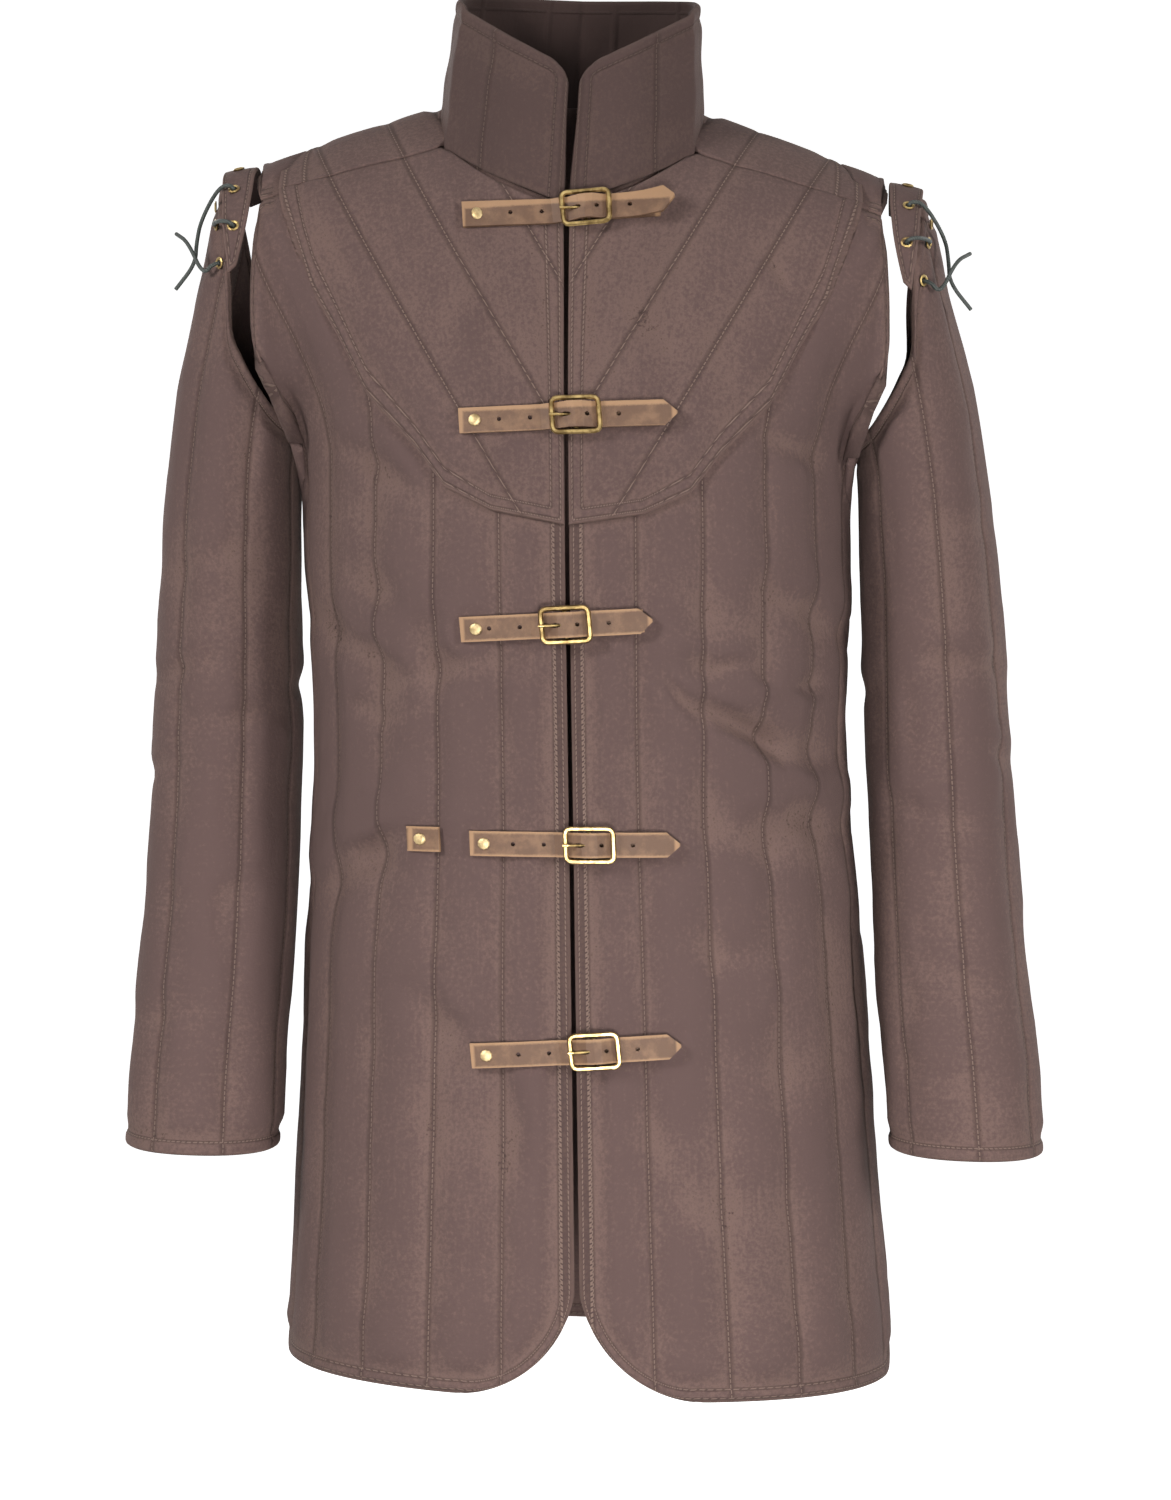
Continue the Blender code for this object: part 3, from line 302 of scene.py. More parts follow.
def crease(x, z, points, width, depth):
    """A soft trough along the points with a low ridge beside it, fading at both ends."""
    points = np.array(points, float)
    run = np.concatenate([[0], np.cumsum(np.hypot(*np.diff(points, axis=0).T))])
    best = np.full(x.shape, 1e9)
    side = np.zeros(x.shape)
    along = np.zeros(x.shape)
    for k in range(len(points) - 1):
        d = points[k + 1] - points[k]
        size = np.hypot(*d)
        px, pz = x - points[k][0], z - points[k][1]
        t = np.clip((px * d[0] + pz * d[1]) / size**2, 0, 1)
        gap = np.hypot(px - t * d[0], pz - t * d[1])
        near = gap < best
        best = np.where(near, gap, best)
        side = np.where(near, (px * d[1] - pz * d[0]) / size, side)
        along = np.where(near, (run[k] + t * size) / run[-1], along)
    fade = np.sin(np.pi * np.clip(along, 0, 1)) ** 0.8
    trough = np.exp(-(best / width) ** 2)
    ridge = np.exp(-((side - 2.0 * width) / (1.2 * width)) ** 2)
    return depth * fade * (0.6 * ridge - trough)


def creased(lift, x, z, side, edge, creases, gain):
    """Add the creases of one side, fading towards a free edge."""
    for way, points, width, depth in creases:
        if way == side:
            points = [(px * side, pz) for px, pz in points]
            lift = lift + gain * crease(x, z, points, width, depth) * ramp((edge - 2) / 12)
    return lift


def lean(spots):
    """Let the whole jacket hang slightly out of upright, in metres."""
    x, y, z = spots[..., 0], spots[..., 1], spots[..., 2]
    return np.stack([x + LEAN_X * z, y, z + LEAN_Z * x], axis=-1) * MM


def meshed(bm, name):
    mesh = bpy.data.meshes.new(name)
    bm.to_mesh(mesh)
    bm.free()
    return mesh


def placed(name, data):
    obj = bpy.data.objects.new(name, data)
    bpy.context.scene.collection.objects.link(obj)
    return obj


def shell(name, side, outer, inner, marks, closed=False):
    """A two-sided cloth from a grid of points in millimetres, with marks written on it for its material."""
    columns, rows = outer.shape[0] - 1, outer.shape[1] - 1
    bm = bmesh.new()
    bmesh.ops.create_grid(bm, x_segments=columns, y_segments=rows, size=1)
    col = bm.verts.layers.int.new("col")
    row = bm.verts.layers.int.new("row")
    layer = bm.verts.layers.int.new("layer")
    for v in bm.verts:
        v[col] = round((v.co.x + 1) / 2 * columns)
        v[row] = round((v.co.y + 1) / 2 * rows)
    if closed:
        ends = {}
        for v in bm.verts:
            if v[col] in (0, columns):
                ends.setdefault(v[row], []).append(v)
        bmesh.ops.weld_verts(bm, targetmap={pair[0]: pair[1] for pair in ends.values()})
    grown = bmesh.ops.extrude_face_region(bm, geom=bm.faces[:])
    for g in grown["geom"]:
        if isinstance(g, bmesh.types.BMVert):
            g[layer] = 1
    spots = np.stack([inner, outer])
    if side < 0:
        spots[..., 0] *= -1
    spots = lean(spots)
    for v in bm.verts:
        v.co = spots[v[layer], v[col], v[row]]
    bmesh.ops.recalc_face_normals(bm, faces=bm.faces)
    mesh = meshed(bm, name)
    places = []
    for word in ("layer", "col", "row"):
        values = np.empty(len(mesh.vertices), np.int32)
        mesh.attributes[word].data.foreach_get("value", values)
        places.append(values)
        mesh.attributes.remove(mesh.attributes[word])
    for word, table in marks.items():
        kind = "FLOAT_VECTOR" if table.ndim == 3 else "FLOAT"
        mark = mesh.attributes.new(word, kind, "POINT")
        values = table[places[1], places[2]].astype(np.float32)
        mark.data.foreach_set("vector" if kind == "FLOAT_VECTOR" else "value", values.ravel())
    inside = mesh.attributes.new("inside", "FLOAT", "POINT")
    inside.data.foreach_set("value", (1 - places[0]).astype(np.float32))
    mesh.shade_smooth()
    return placed(name, mesh)


def colour(code):
    """Linear colour of an sRGB hex code."""
    parts = [int(code[k:k + 2], 16) / 255 for k in (1, 3, 5)]
    return (*[c / 12.92 if c <= 0.04045 else ((c + 0.055) / 1.055) ** 2.4 for c in parts], 1)


def node(tree, kind, values=None, links=None, **settings):
    """Add a shader node with its settings, values and incoming links."""
    made = tree.nodes.new("ShaderNode" + kind)
    for key, value in settings.items():
        setattr(made, key, value)
    for key, value in (values or {}).items():
        made.inputs[key].default_value = value
    for key, socket in (links or {}).items():
        tree.links.new(socket, made.inputs[key])
    return made


def maths(operation, *items):
    """A maths node; each item is a number or a socket, and one at least is a socket."""
    tree = next(item.id_data for item in items if not isinstance(item, (int, float)))
    made = tree.nodes.new("ShaderNodeMath")
    made.operation = operation
    for k, item in enumerate(items):
        if isinstance(item, (int, float)):
            made.inputs[k].default_value = item
        else:
            tree.links.new(item, made.inputs[k])
    return made.outputs[0]


def weighed(start, *pairs):
    """The sum of a number and of sockets times their weights."""
    total = start
    for socket, weight in pairs:
        total = maths("MULTIPLY_ADD", socket, weight, total)
    return total


def band_of(value, low, high):
    """Smoothly 1 at low and 0 at high."""
    made = node(value.id_data, "MapRange", {"From Min": low, "From Max": high, "To Min": 1.0, "To Max": 0.0},
                {"Value": value}, interpolation_type="SMOOTHSTEP")
    return made.outputs[0]


def mix(amount, a, b):
    """Mix two colours, each a hex code or a socket, by a socket."""
    made = node(amount.id_data, "Mix", data_type="RGBA")
    for key, item in ((6, a), (7, b)):
        if isinstance(item, str):
            made.inputs[key].default_value = colour(item)
        else:
            amount.id_data.links.new(item, made.inputs[key])
    amount.id_data.links.new(amount, made.inputs[0])
    return made.outputs[2]


def mottle(place, scale, detail, roughness=0.5, distortion=0.0):
    """Cloudy noise between 0 and 1."""
    values = {"Scale": scale, "Detail": detail, "Roughness": roughness, "Distortion": distortion}
    return node(place.id_data, "TexNoise", values, {"Vector": place}).outputs[0]


def finish_named(name):
    """A new material, its node tree and its shader."""
    mat = bpy.data.materials.new(name)
    mat.use_nodes = True
    return mat, mat.node_tree, mat.node_tree.nodes["Principled BSDF"]


def bumped(shader, height, strength, distance):
    bump = node(height.id_data, "Bump", {"Strength": strength, "Distance": distance}, {"Height": height})
    height.id_data.links.new(bump.outputs[0], shader.inputs["Normal"])


def canvas(name, period=QUILT, edge_rows=(3.0, 8.6), shade=0.0):
    """Worn brown cotton canvas: plain weave, slubs and rows of thread, with painted light and shade over its
    relief.
    """
    mat, tree, shader = finish_named(name)
    place = node(tree, "TexCoord").outputs["Object"]
    cloth = node(tree, "Attribute", attribute_name="cloth").outputs["Vector"]
    quilt, rise, inside = [node(tree, "Attribute", attribute_name=word).outputs["Fac"]
                           for word in ("quilt", "rise", "inside")]
    across, down, from_edge = node(tree, "SeparateXYZ", links={"Vector": cloth}).outputs
    warp, weft = [maths("SINE", maths("MULTIPLY", way, math.tau / WEAVE_PITCH)) for way in (across, down)]
    weave = maths("MULTIPLY", warp, weft)
    stretched = [node(tree, "Mapping", {"Scale": size}, {"Vector": cloth}).outputs[0]
                 for size in ((1.0, 0.12, 1.0), (0.12, 1.0, 1.0))]
    slubs, threads = [mottle(place_on, 0.35, 3.0, 0.6) for place_on in stretched]
    fade = mottle(place, 7.0, 4.0, 0.55)
    speck = mottle(place, 420.0, 2.0, 0.7)
    crumple = mottle(place, 55.0, 4.0, 0.6, 0.4)
    # Painted light and shade: cloth raised by the rise mark is lighter and creased cloth darker; fade, slubs,
    # threads and speck are the cloth's own uneven tone.
    tone = weighed(-0.58, (fade, 0.55), (slubs, 0.30), (threads, 0.30), (speck, 0.75), (rise, 0.24))
    base = mix(band_of(tone, 0.62, 0.16), CANVAS_LIGHT, CANVAS_MID)
    base = mix(band_of(tone, 0.02, 0.34), base, CANVAS_DARK)
    away = maths("ABSOLUTE", maths("SUBTRACT", quilt, maths("ROUND", quilt)))
    away = maths("MULTIPLY", away, period)
    # Painted shade: the quilting grooves, and below them the edge stitch rows, are darkened; the same mask
    # presses them in through the bump.
    groove_shade = maths("MULTIPLY", band_of(away, 0.3, 3.6), 0.58)
    row = maths("MULTIPLY_ADD", across, 0.02, down)
    dash, edge_dash = [maths("LESS_THAN", maths("PINGPONG", along, STITCH_HALF), STITCH_FILL)
                       for along in (row, maths("ADD", across, down))]
    stitch = maths("MULTIPLY", maths("LESS_THAN", away, THREAD_HALF), dash)
    for depth in edge_rows:
        off = maths("ABSOLUTE", maths("SUBTRACT", from_edge, depth))
        groove_shade = maths("MAXIMUM", groove_shade, maths("MULTIPLY", band_of(off, 0.2, 1.5), 0.5))
        thread = maths("MULTIPLY", maths("LESS_THAN", off, THREAD_HALF), edge_dash)
        stitch = maths("MAXIMUM", stitch, thread)
    # Painted shade in the grooves and stitch rows.
    base = mix(groove_shade, base, CANVAS_DARK)
    base = mix(maths("MULTIPLY", band_of(from_edge, 0.3, 3.0), 0.55), base, CANVAS_LIGHT)
    base = mix(maths("MULTIPLY", stitch, 0.75), base, THREAD)
    # Painted shade: the inner face of the cloth is darkened, and the whole piece by shade.
    base = mix(maths("MULTIPLY_ADD", inside, 0.45, shade), base, CANVAS_DARK)
    tree.links.new(base, shader.inputs["Base Color"])
    height = weighed(0.0, (weave, 0.05), (crumple, 0.9), (slubs, 0.12), (speck, 0.14), (stitch, 0.35),
                     (groove_shade, -1.1))
    bumped(shader, height, 1.0, 0.0015)
    for word, value in (("Roughness", 0.92), ("Specular IOR Level", 0.18), ("Sheen Weight", 0.10),
                        ("Sheen Roughness", 0.55), ("Sheen Tint", colour("#A08C80"))):
        shader.inputs[word].default_value = value
    return mat


def worn(piece, stands_for, material, flat, area, held, rests_on):
    """Give a cloth piece its canvas, hang it from the root and hide the solid it stands for; its flat cut is
    not used.
    """
    piece.data.materials.append(material)
    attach(piece, "root")
    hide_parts(stands_for)


front_panel = Panel(-1, FRONT_TOP, FRONT_CORNERS)
mantle_edge = [np.array(c, float) for c in zip(*MANTLE_EDGE)]


def edge_height(x):
    return float(np.interp(abs(x), mantle_edge[0], mantle_edge[1]))


def front_mantle_end():
    """Share at which the mantle's edge meets the armhole, found by halving."""
    low, high = 0.24, 0.64
    for _ in range(30):
        middle = (low + high) / 2
        row = front_panel.top(middle)
        if row[2] < edge_height(row[0]) or row[0] > 193:
            high = middle
        else:
            low = middle
    return (low + high) / 2


FRONT_MANTLE_END = front_mantle_end()
BACK_MANTLE_END = 0.610


def mantle_depth(panel, u):
    """Length down a column from the top to the mantle's edge."""
    u = abs(u)
    if panel.facing < 0:
        if u >= FRONT_MANTLE_END:
            return 0.0
        points, length = panel.column(u)
        inside = [p[2] >= edge_height(p[0]) for p in points]
        k = inside.index(False) if False in inside else len(points) - 1
        if k == 0:
            return 0.0
        gap0 = points[k - 1][2] - edge_height(points[k - 1][0])
        gap1 = points[k][2] - edge_height(points[k][0])
        return float(length[k - 1] + gap0 / (gap0 - gap1) * (length[k] - length[k - 1]))
    if u >= BACK_MANTLE_END:
        return 0.0
    return 300.0 * (1 - (u / BACK_MANTLE_END) ** 2.0) ** 0.75 + (30 if u > 0.2 else 30 * u / 0.2) * (
        1 - u / BACK_MANTLE_END)


def channel_shares(stops, steps, first=()):
    """Shares of dense columns with a column on every stitched line, and the channel count along them."""
    shares, counts = list(first), [k / max(len(first), 1) - 1 for k in range(len(first))]
    for k, (low, high) in enumerate(zip(stops, stops[1:])):
        for i in range(steps):
            shares.append(low + (high - low) * i / steps)
            counts.append(k + i / steps)
    return np.array(shares + [stops[-1]]), np.array(counts + [len(stops) - 1.0])


def depth_rows(total, rows, band_steps=(9.5, 6.5, 4.0, 2.4, 1.2, 0.4, 0.0), start=0.25):
    """Depths down a column: even rows, then closer rows over the band at the lower edge."""
    even = np.linspace(start, total - band_steps[0], rows)
    return np.concatenate([even, [total - b for b in band_steps[1:]]])


def puffed(count, depth, seed, rise):
    """Rise of the quilted channels, uneven from place to place and puckered beside the stitching."""
    part = count - np.floor(count)
    from_line = np.minimum(part, 1 - part) * QUILT
    body = (4 * part * (1 - part)) ** 0.85
    uneven = 1 + 0.16 * noise(depth / 70, count * 1.0, seed) + 0.10 * noise(depth / 26, count * 2, seed + 1)
    pucker = noise(depth / 8.5, np.floor(count) * 7.3 + part * 2.0, seed + 2) * np.exp(-from_line / 8) * (
        from_line / 3).clip(0, 1)
    return rise * body * uneven + 0.75 * pucker


def rolled(edge, thickness):
    """Drop of the surface towards a free edge, so that the edge is round."""
    radius = thickness / 2
    e = np.clip(edge, 0, radius)
    return -(radius - np.sqrt(np.maximum(radius**2 - (radius - e) ** 2, 0)))


def body_panel(name, panel, shares, counts, side, rows, creases, seed):
    depths = np.array([depth_rows(panel.size(u), rows) for u in shares])
    spots, out = panel.grid(shares, depths)
    totals = np.array([panel.size(u) for u in shares])[:, None]
    cover = np.array([mantle_depth(panel, u) for u in shares])[:, None]
    size = spread(np.abs(shares), depths)
    x, z = spots[..., 0], spots[..., 2]
    hem = totals - depths
    if panel.facing < 0:
        corner = (np.abs(x) * HEM_FLARE < FRONT_CORNER) & (z < HEM_Z + FRONT_CORNER)
        arc = FRONT_CORNER - np.hypot(np.abs(x) * HEM_FLARE - FRONT_CORNER, z - HEM_Z - FRONT_CORNER)
        centre = (size - FRONT_GAP / FRONT_SPAN) * FRONT_SPAN
        edge = np.where(corner, np.minimum(arc, centre), np.minimum(hem, centre))
        edge = np.maximum(edge, 0)
    else:
        edge = hem
    end = FRONT_MANTLE_END if panel.facing < 0 else BACK_MANTLE_END
    edge = np.where(size > end + 0.004, np.minimum(edge, depths), edge)
    count = spread(counts, depths)
    lift = puffed(count, depths, seed, CLOTH_PUFF) * ramp((edge - BAND) / 13)
    sag = 0.8 * noise(x / 34, z / 22, seed + 5) + 1.5 * noise(x / 62, z / 47, seed + 6)
    lift += sag * ramp((edge - BAND) / 24)
    lift = np.where(edge < BAND, piped(edge, 1.5), lift)
    lift = creased(lift, x, z, side, edge, creases, CREASE_GAIN)
    lift = np.where((size <= end + 1e-6) & (depths < cover), 0, lift * ramp((depths - cover - 1) / 10))
    if panel.facing < 0:
        lift = pressed(lift, x, z, side, STRAP_ROWS, UNDER_STRAP)
    lift = np.minimum(lift, MOST_LIFT)
    inner = -WALL - 0.5 * np.clip(lift, 0, 2) + np.minimum(lift, 0)
    roll = rolled(np.where(depths < cover, 99, edge), WALL + 1.0)
    outer_spots = spots + out * (lift + roll)[..., None]
    inner_spots = spots + out * (inner - roll)[..., None]
    across = np.concatenate([[0], np.cumsum(np.hypot(np.diff(spots[:, 150, 0]), np.diff(spots[:, 150, 1])))])
    cloth = np.stack([spread(across, depths), depths, edge], axis=-1)
    marks = {"quilt": count, "cloth": cloth, "rise": np.clip(lift / 4, *RISE_MARK)}
    return shell(name, side, outer_spots, inner_spots, marks)


front_stops = [0.036] + [CHANNEL * k for k in range(1, 6)] + [1.0 - SEAM_GAP / SIDE_SPAN]
front_edge = [FRONT_GAP / FRONT_SPAN + k / FRONT_SPAN for k in (0, 0.4, 1.2, 2.4, 4.5)]
front_shares, front_counts = channel_shares(front_stops, 16, front_edge)
front_counts[:len(front_edge)] = -0.02
for side, word, seed in ((-1, "right", 11), (1, "left", 31)):
    piece = body_panel(f"front_{word}_cloth", front_panel, front_shares, front_counts, side, 215,
                       FRONT_CREASES, seed)
    worn(piece, f"front_{word}", canvas(f"brown cotton canvas of the {word} front"),
         (0.31, 0.86), 0.235, "hung", "collar")

# Back. One panel of the same quilted canvas, shaped over the shoulder blades and open at both side slits.
# It is sewn to the fronts along the sides above the slits and hidden under the mantle at the top.
BACK_TOP = (
    # share, x, y, z, edge direction, reach, rise
    (0.000, 0, 62, 14, 0, 0.45, -0.89, 60, 90),
    (0.115, 47, 50, 12, 0, 0.62, -0.73, 70, 110),
    (0.220, 77, 22, 7, 0.05, 0.90, -0.3, 90, 140),
    (0.315, 83, -10, -2, 0.14, 0.95, 0.20, 110, 165),
    (0.4025, 78, -42, -26, 0.36, 0.72, 0.58, 130, 180),
    (0.6325, 204, -42, -60, 0, 0.78, 0.62, 110, 170),
    (0.670, 207, -14, -41, 0, 0.93, 0.25, 95, 150),
    (0.710, 206, 28, -45, -0.08, 0.85, -0.45, 75, 120),
    (0.755, 205, 62, -83, -0.12, 0.50, -0.83, 60, 90),
    (0.805, 203, 78, -125, -0.2, 0.20, -0.95, 45, 70),
    (0.8625, 198, 76, -165, -0.3, 0.05, -0.95, 35, 50),
    (0.920, 188, 56, -197, -0.2, 0, -0.97, 28, 40),
    (0.960, 181, 30, -217, -0.1, 0, -0.99, 25, 35),
    (1.000, 178, 0, -232, 0, 0, -1.00, 25, 30),
)
BACK_CORNERS = (0.4025, 0.6325)
BACK_CREASES = (
    # side, points (x, z), half width, depth
    (1, ((-150, -390), (-108, -398), (-70, -380)), 7.0, 2.8),
    (1, ((150, -372), (104, -392), (66, -404)), 8.0, 3.2),
    (1, ((-60, -420), (-10, -430), (40, -418)), 7.0, 2.4),
    (1, ((-140, -452), (-96, -462), (-58, -450)), 8.0, 2.2),
    (1, ((54, -446), (98, -460), (150, -452)), 7.0, 2.4),
    (1, ((-172, -232), (-134, -262), (-110, -300)), 9.0, 2.6),
    (1, ((174, -226), (140, -258), (116, -292)), 9.0, 2.8),
    (1, ((-120, -620), (-96, -680), (-104, -740)), 11.0, 1.6),
    (1, ((90, -590), (112, -650), (100, -720)), 11.0, 1.8),
)
back_panel = Panel(1, BACK_TOP, BACK_CORNERS)
back_stops = [CHANNEL * k for k in range(0, 6)] + [1.0 - SEAM_GAP / SIDE_SPAN]
half_shares, half_counts = channel_shares(back_stops, 12)
back_shares = np.concatenate([-half_shares[::-1][:-1], half_shares])
back_counts = np.concatenate([-half_counts[::-1][:-1], half_counts])
piece = body_panel("back_cloth", back_panel, back_shares, back_counts, 1, 190, BACK_CREASES, 51)
worn(piece, "back", canvas("brown cotton canvas of the back"), (0.61, 0.98), 0.50, "hung", "collar")

# Chest and back mantle. A second layer of canvas over the shoulders, quilted in diagonal channels that run
# down to the centre, with a turned edge held by two rows of stitching. It is sewn in with the collar seam.
MANTLE_WALL = 2.6
MANTLE_PUFF = 1.5
MANTLE_LIFT = 0.5
BACK_MANTLE_LIFT = 1.6
COLLAR_CLEAR = 5.4
MANTLE_THREADS = (2.4, 8.8)
MANTLE_UNDER_STRAP = 0.9
MANTLE_RANGE = (-1.2, 2.3)
MANTLE_CREASES = (
    # side, points (x, z), half width, depth
    (1, ((126, -88), (136, -104), (144, -118)), 4.5, 2.0),
    (1, ((92, -140), (104, -176), (96, -206)), 9.0, 1.2),
    (1, ((30, -120), (52, -138), (70, -166)), 7.0, 1.4),
    (-1, ((-170, -60), (-150, -100), (-132, -130)), 6.0, 1.6),
    (-1, ((-60, -110), (-76, -140), (-70, -170)), 8.0, 1.4),
    (-1, ((-30, -200), (-52, -220), (-60, -238)), 6.0, 1.4),
)


def mantle(name, panel, shares, side, rows, corner, end, seed):
    covers = np.array([max(mantle_depth(panel, u), 24.0) for u in shares])
    first = COLLAR_CLEAR + (SEAM_GAP - COLLAR_CLEAR) * ramp((np.abs(shares) - corner) / 0.018)
    depths = np.array([depth_rows(c, rows, start=f) for c, f in zip(covers, first)])
    spots, out = panel.grid(shares, depths)
    x, z = spots[..., 0], spots[..., 2]
    size = spread(np.abs(shares), depths)
    edge = covers[:, None] - depths
    if panel.facing < 0:
        slope = np.gradient(mantle_edge[1], mantle_edge[0])
        tilt = np.interp(np.abs(x), mantle_edge[0], slope)
        edge = (z - np.interp(np.abs(x), mantle_edge[0], mantle_edge[1])) / np.sqrt(1 + tilt**2)
        edge = np.minimum(edge, covers[:, None] - depths)
        edge = np.minimum(edge, (size - FRONT_GAP / FRONT_SPAN) * FRONT_SPAN)
    edge = np.minimum(edge, (end - size) * FRONT_SPAN + 0.2).clip(0)
    count = (0.86 * np.abs(x) - 0.51 * z - 12) / QUILT
    part = count - np.floor(count)
    from_line = np.minimum(part, 1 - part) * QUILT
    lift = (4 * part * (1 - part)) ** 0.62 * MANTLE_PUFF * (1 + 0.2 * noise(x / 30, z / 30, seed))
    lift += 0.5 * noise(x / 9, z / 9, seed + 1) * np.exp(-from_line / 8) * (from_line / 3).clip(0, 1)
    lift = lift * ramp((edge - BAND) / 9)
    lift = np.where(edge < BAND, piped(edge, 1.1), lift)
    if panel.facing < 0:
        lift = creased(lift, x, z, side, edge, MANTLE_CREASES, 1.0)
        lift = pressed(lift, x, z, side, STRAP_ROWS[:2], MANTLE_UNDER_STRAP)
    low = MANTLE_LIFT
    if panel.facing > 0:
        low = BACK_MANTLE_LIFT * ramp(edge / 20) + MANTLE_LIFT * (1 - ramp(edge / 20))
    lift = np.clip(lift, *MANTLE_RANGE)
    roll = rolled(edge, MANTLE_WALL)
    outer_spots = spots + out * (low + MANTLE_WALL + lift + roll)[..., None]
    inner_spots = spots + out * (low * np.ones_like(depths))[..., None]
    across = np.concatenate([[0], np.cumsum(np.hypot(np.diff(spots[:, 9, 0]), np.diff(spots[:, 9, 1])))])
    cloth = np.stack([spread(across, depths), depths, edge], axis=-1)
    marks = {"quilt": count, "cloth": cloth, "rise": np.clip(lift / 3, *RISE_MARK)}
    return shell(name, side, outer_spots, inner_spots, marks)


mantle_shares = np.concatenate([front_edge, np.linspace(0.036, FRONT_MANTLE_END - 0.012, 100),
                                FRONT_MANTLE_END - np.array([0.008, 0.004, 0.001])])
for side, word, seed in ((-1, "right", 71), (1, "left", 81)):
    piece = mantle(f"mantle_front_{word}", front_panel, mantle_shares, side, 110, FRONT_CORNERS[0],
                   FRONT_MANTLE_END, seed)
    worn(piece, f"yoke_front_{word}",
         canvas(f"brown cotton canvas of the {word} mantle", edge_rows=MANTLE_THREADS),
         (0.21, 0.25), 0.031, "laid", f"front_{word}_cloth")
half = np.concatenate([np.linspace(0, BACK_MANTLE_END - 0.012, 90),
                       BACK_MANTLE_END - np.array([0.008, 0.004, 0.001])])
piece = mantle("mantle_back", back_panel, np.concatenate([-half[::-1][:-1], half]), 1, 110, BACK_CORNERS[0],
               BACK_MANTLE_END, 91)
worn(piece, "yoke_back", canvas("brown cotton canvas of the back mantle", edge_rows=MANTLE_THREADS),
     (0.42, 0.34), 0.096, "laid", "back_cloth")

# Collar. One tall stand collar of padded canvas, open at the centre front and rising towards the back.
# It is quilted in upright channels, bound at the top edge and sewn round the neckline over the mantle.
COLLAR_WALL = 4.0
COLLAR_QUILT = 52.0
COLLAR_GIRTH = 235.0
COLLAR_TOP = (
    # share of the ring from the front, z of the upper edge
    (0.000, 6), (0.020, 21), (0.050, 30), (0.100, 37), (0.180, 46), (0.270, 56), (0.400, 70),
    (0.550, 79), (0.750, 84), (1.000, 85),
)


def neck_ring():
    """The neckline of one half as points, with their share of its length from the front."""
    shares = [(front_panel, u) for u in np.linspace(0, FRONT_CORNERS[0], 24)]
    shares += [(back_panel, u) for u in np.linspace(BACK_CORNERS[0], 0, 40)[1:]]
    spots = np.array([panel.column(u)[0][0] for panel, u in shares])
    length = np.concatenate([[0], np.cumsum(np.hypot(np.diff(spots[:, 0]), np.diff(spots[:, 1])))])
    return spots, length / length[-1]


def collar(name, columns, rows):
    ring, share = neck_ring()
    top = smooth_through(COLLAR_TOP)
    half = np.concatenate([[0.012, 0.0135, 0.016, 0.020, 0.026], np.linspace(0.034, 1.0, columns)])
    shares = np.concatenate([-half[:-1], half[::-1]])
    outer = np.empty((len(shares), rows + 8, 3))
    inner = np.empty_like(outer)
    cloth = np.empty_like(outer)
    quilt = np.empty(outer.shape[:2])
    rise_mark = np.empty(outer.shape[:2])

    def base(t):
        return np.array([np.interp(t, share, ring[:, k]) for k in range(3)])

    for i, signed in enumerate(shares):
        t = abs(signed)
        way = -1 if signed < 0 else 1
        if t >= 0.9999:
            way = 1
        p = base(t)
        ahead = base(min(t + 0.02, 1.0)) - base(max(t - 0.02, 0.0))
        out = np.array([ahead[1], -ahead[0], 0.0])
        if t >= 0.99:
            out = np.array([0.0, 1.0, 0.0])
        out /= np.linalg.norm(out)
        if t < 0.5 and out[1] > 0 or t > 0.5 and out[0] < -0.5:
            out = -out
        bottom = p[2] + 0.2 - 3.0 * float(ramp((t - 0.3) / 0.1))
        height = float(top(t)[0]) - bottom
        downs = np.concatenate([np.linspace(height, 9.0, rows), [6.5, 4.5, 3.0, 1.8, 1.0, 0.4, 0.1, 0.0]])
        count = (t * COLLAR_GIRTH - 4.0) / COLLAR_QUILT
        part = count - math.floor(count)
        for j, down in enumerate(downs):
            f = 1 - down / height
            edge = min(down, max((t - 0.012) * COLLAR_GIRTH, 0.0))
            bulge = 1.3 * (4 * part * (1 - part)) ** 0.6 * float(ramp((edge - 8.0) / 8))
            bulge *= float(ramp(f * height / 8))
            if edge < 8.0:
                bulge = float(piped(edge, 0.9, 8.0))
            wrinkle = 1.1 * float(noise(np.float64(t * COLLAR_GIRTH / 30 + 40 * (way > 0)), down / 18.0, 7))
            wrinkle *= float(ramp(edge / 16)) * float(ramp(f * height / 12))
            roll = float(rolled(np.array(edge), COLLAR_WALL + 0.8))
            inward = 7.0 * f if t > 0.06 else 7.0 * f * (0.35 + 0.65 * t / 0.06)
            outward = COLLAR_WALL + bulge + wrinkle + roll
            for table, depth in ((outer, outward), (inner, wrinkle * 0.8 - roll)):
                x = p[0] + out[0] * (depth - inward)
                y = p[1] + out[1] * (depth - inward)
                if t < 0.05:
                    x = max(x, FRONT_GAP + 1.6 * f) + 0.4 * f
                if t < 0.013:
                    x = FRONT_GAP + 3.2 * f**1.5
                table[i, j] = (way * x + 6.0 * f * height / 80, y, bottom + height * f)
            cloth[i, j] = (t * COLLAR_GIRTH * way, down, edge)
            quilt[i, j] = count
            rise_mark[i, j] = (bulge + wrinkle) / 2
    return shell(name, 1, outer, inner, {"quilt": quilt, "cloth": cloth, "rise": rise_mark})


piece = collar("collar_cloth", 110, 44)
# The collar's shade is painted shade that darkens all of it.
worn(piece, "collar", canvas("brown cotton canvas of the collar", COLLAR_QUILT, edge_rows=(7.8,), shade=0.52),
     (0.47, 0.10), 0.036, "hung", "mantle_back")

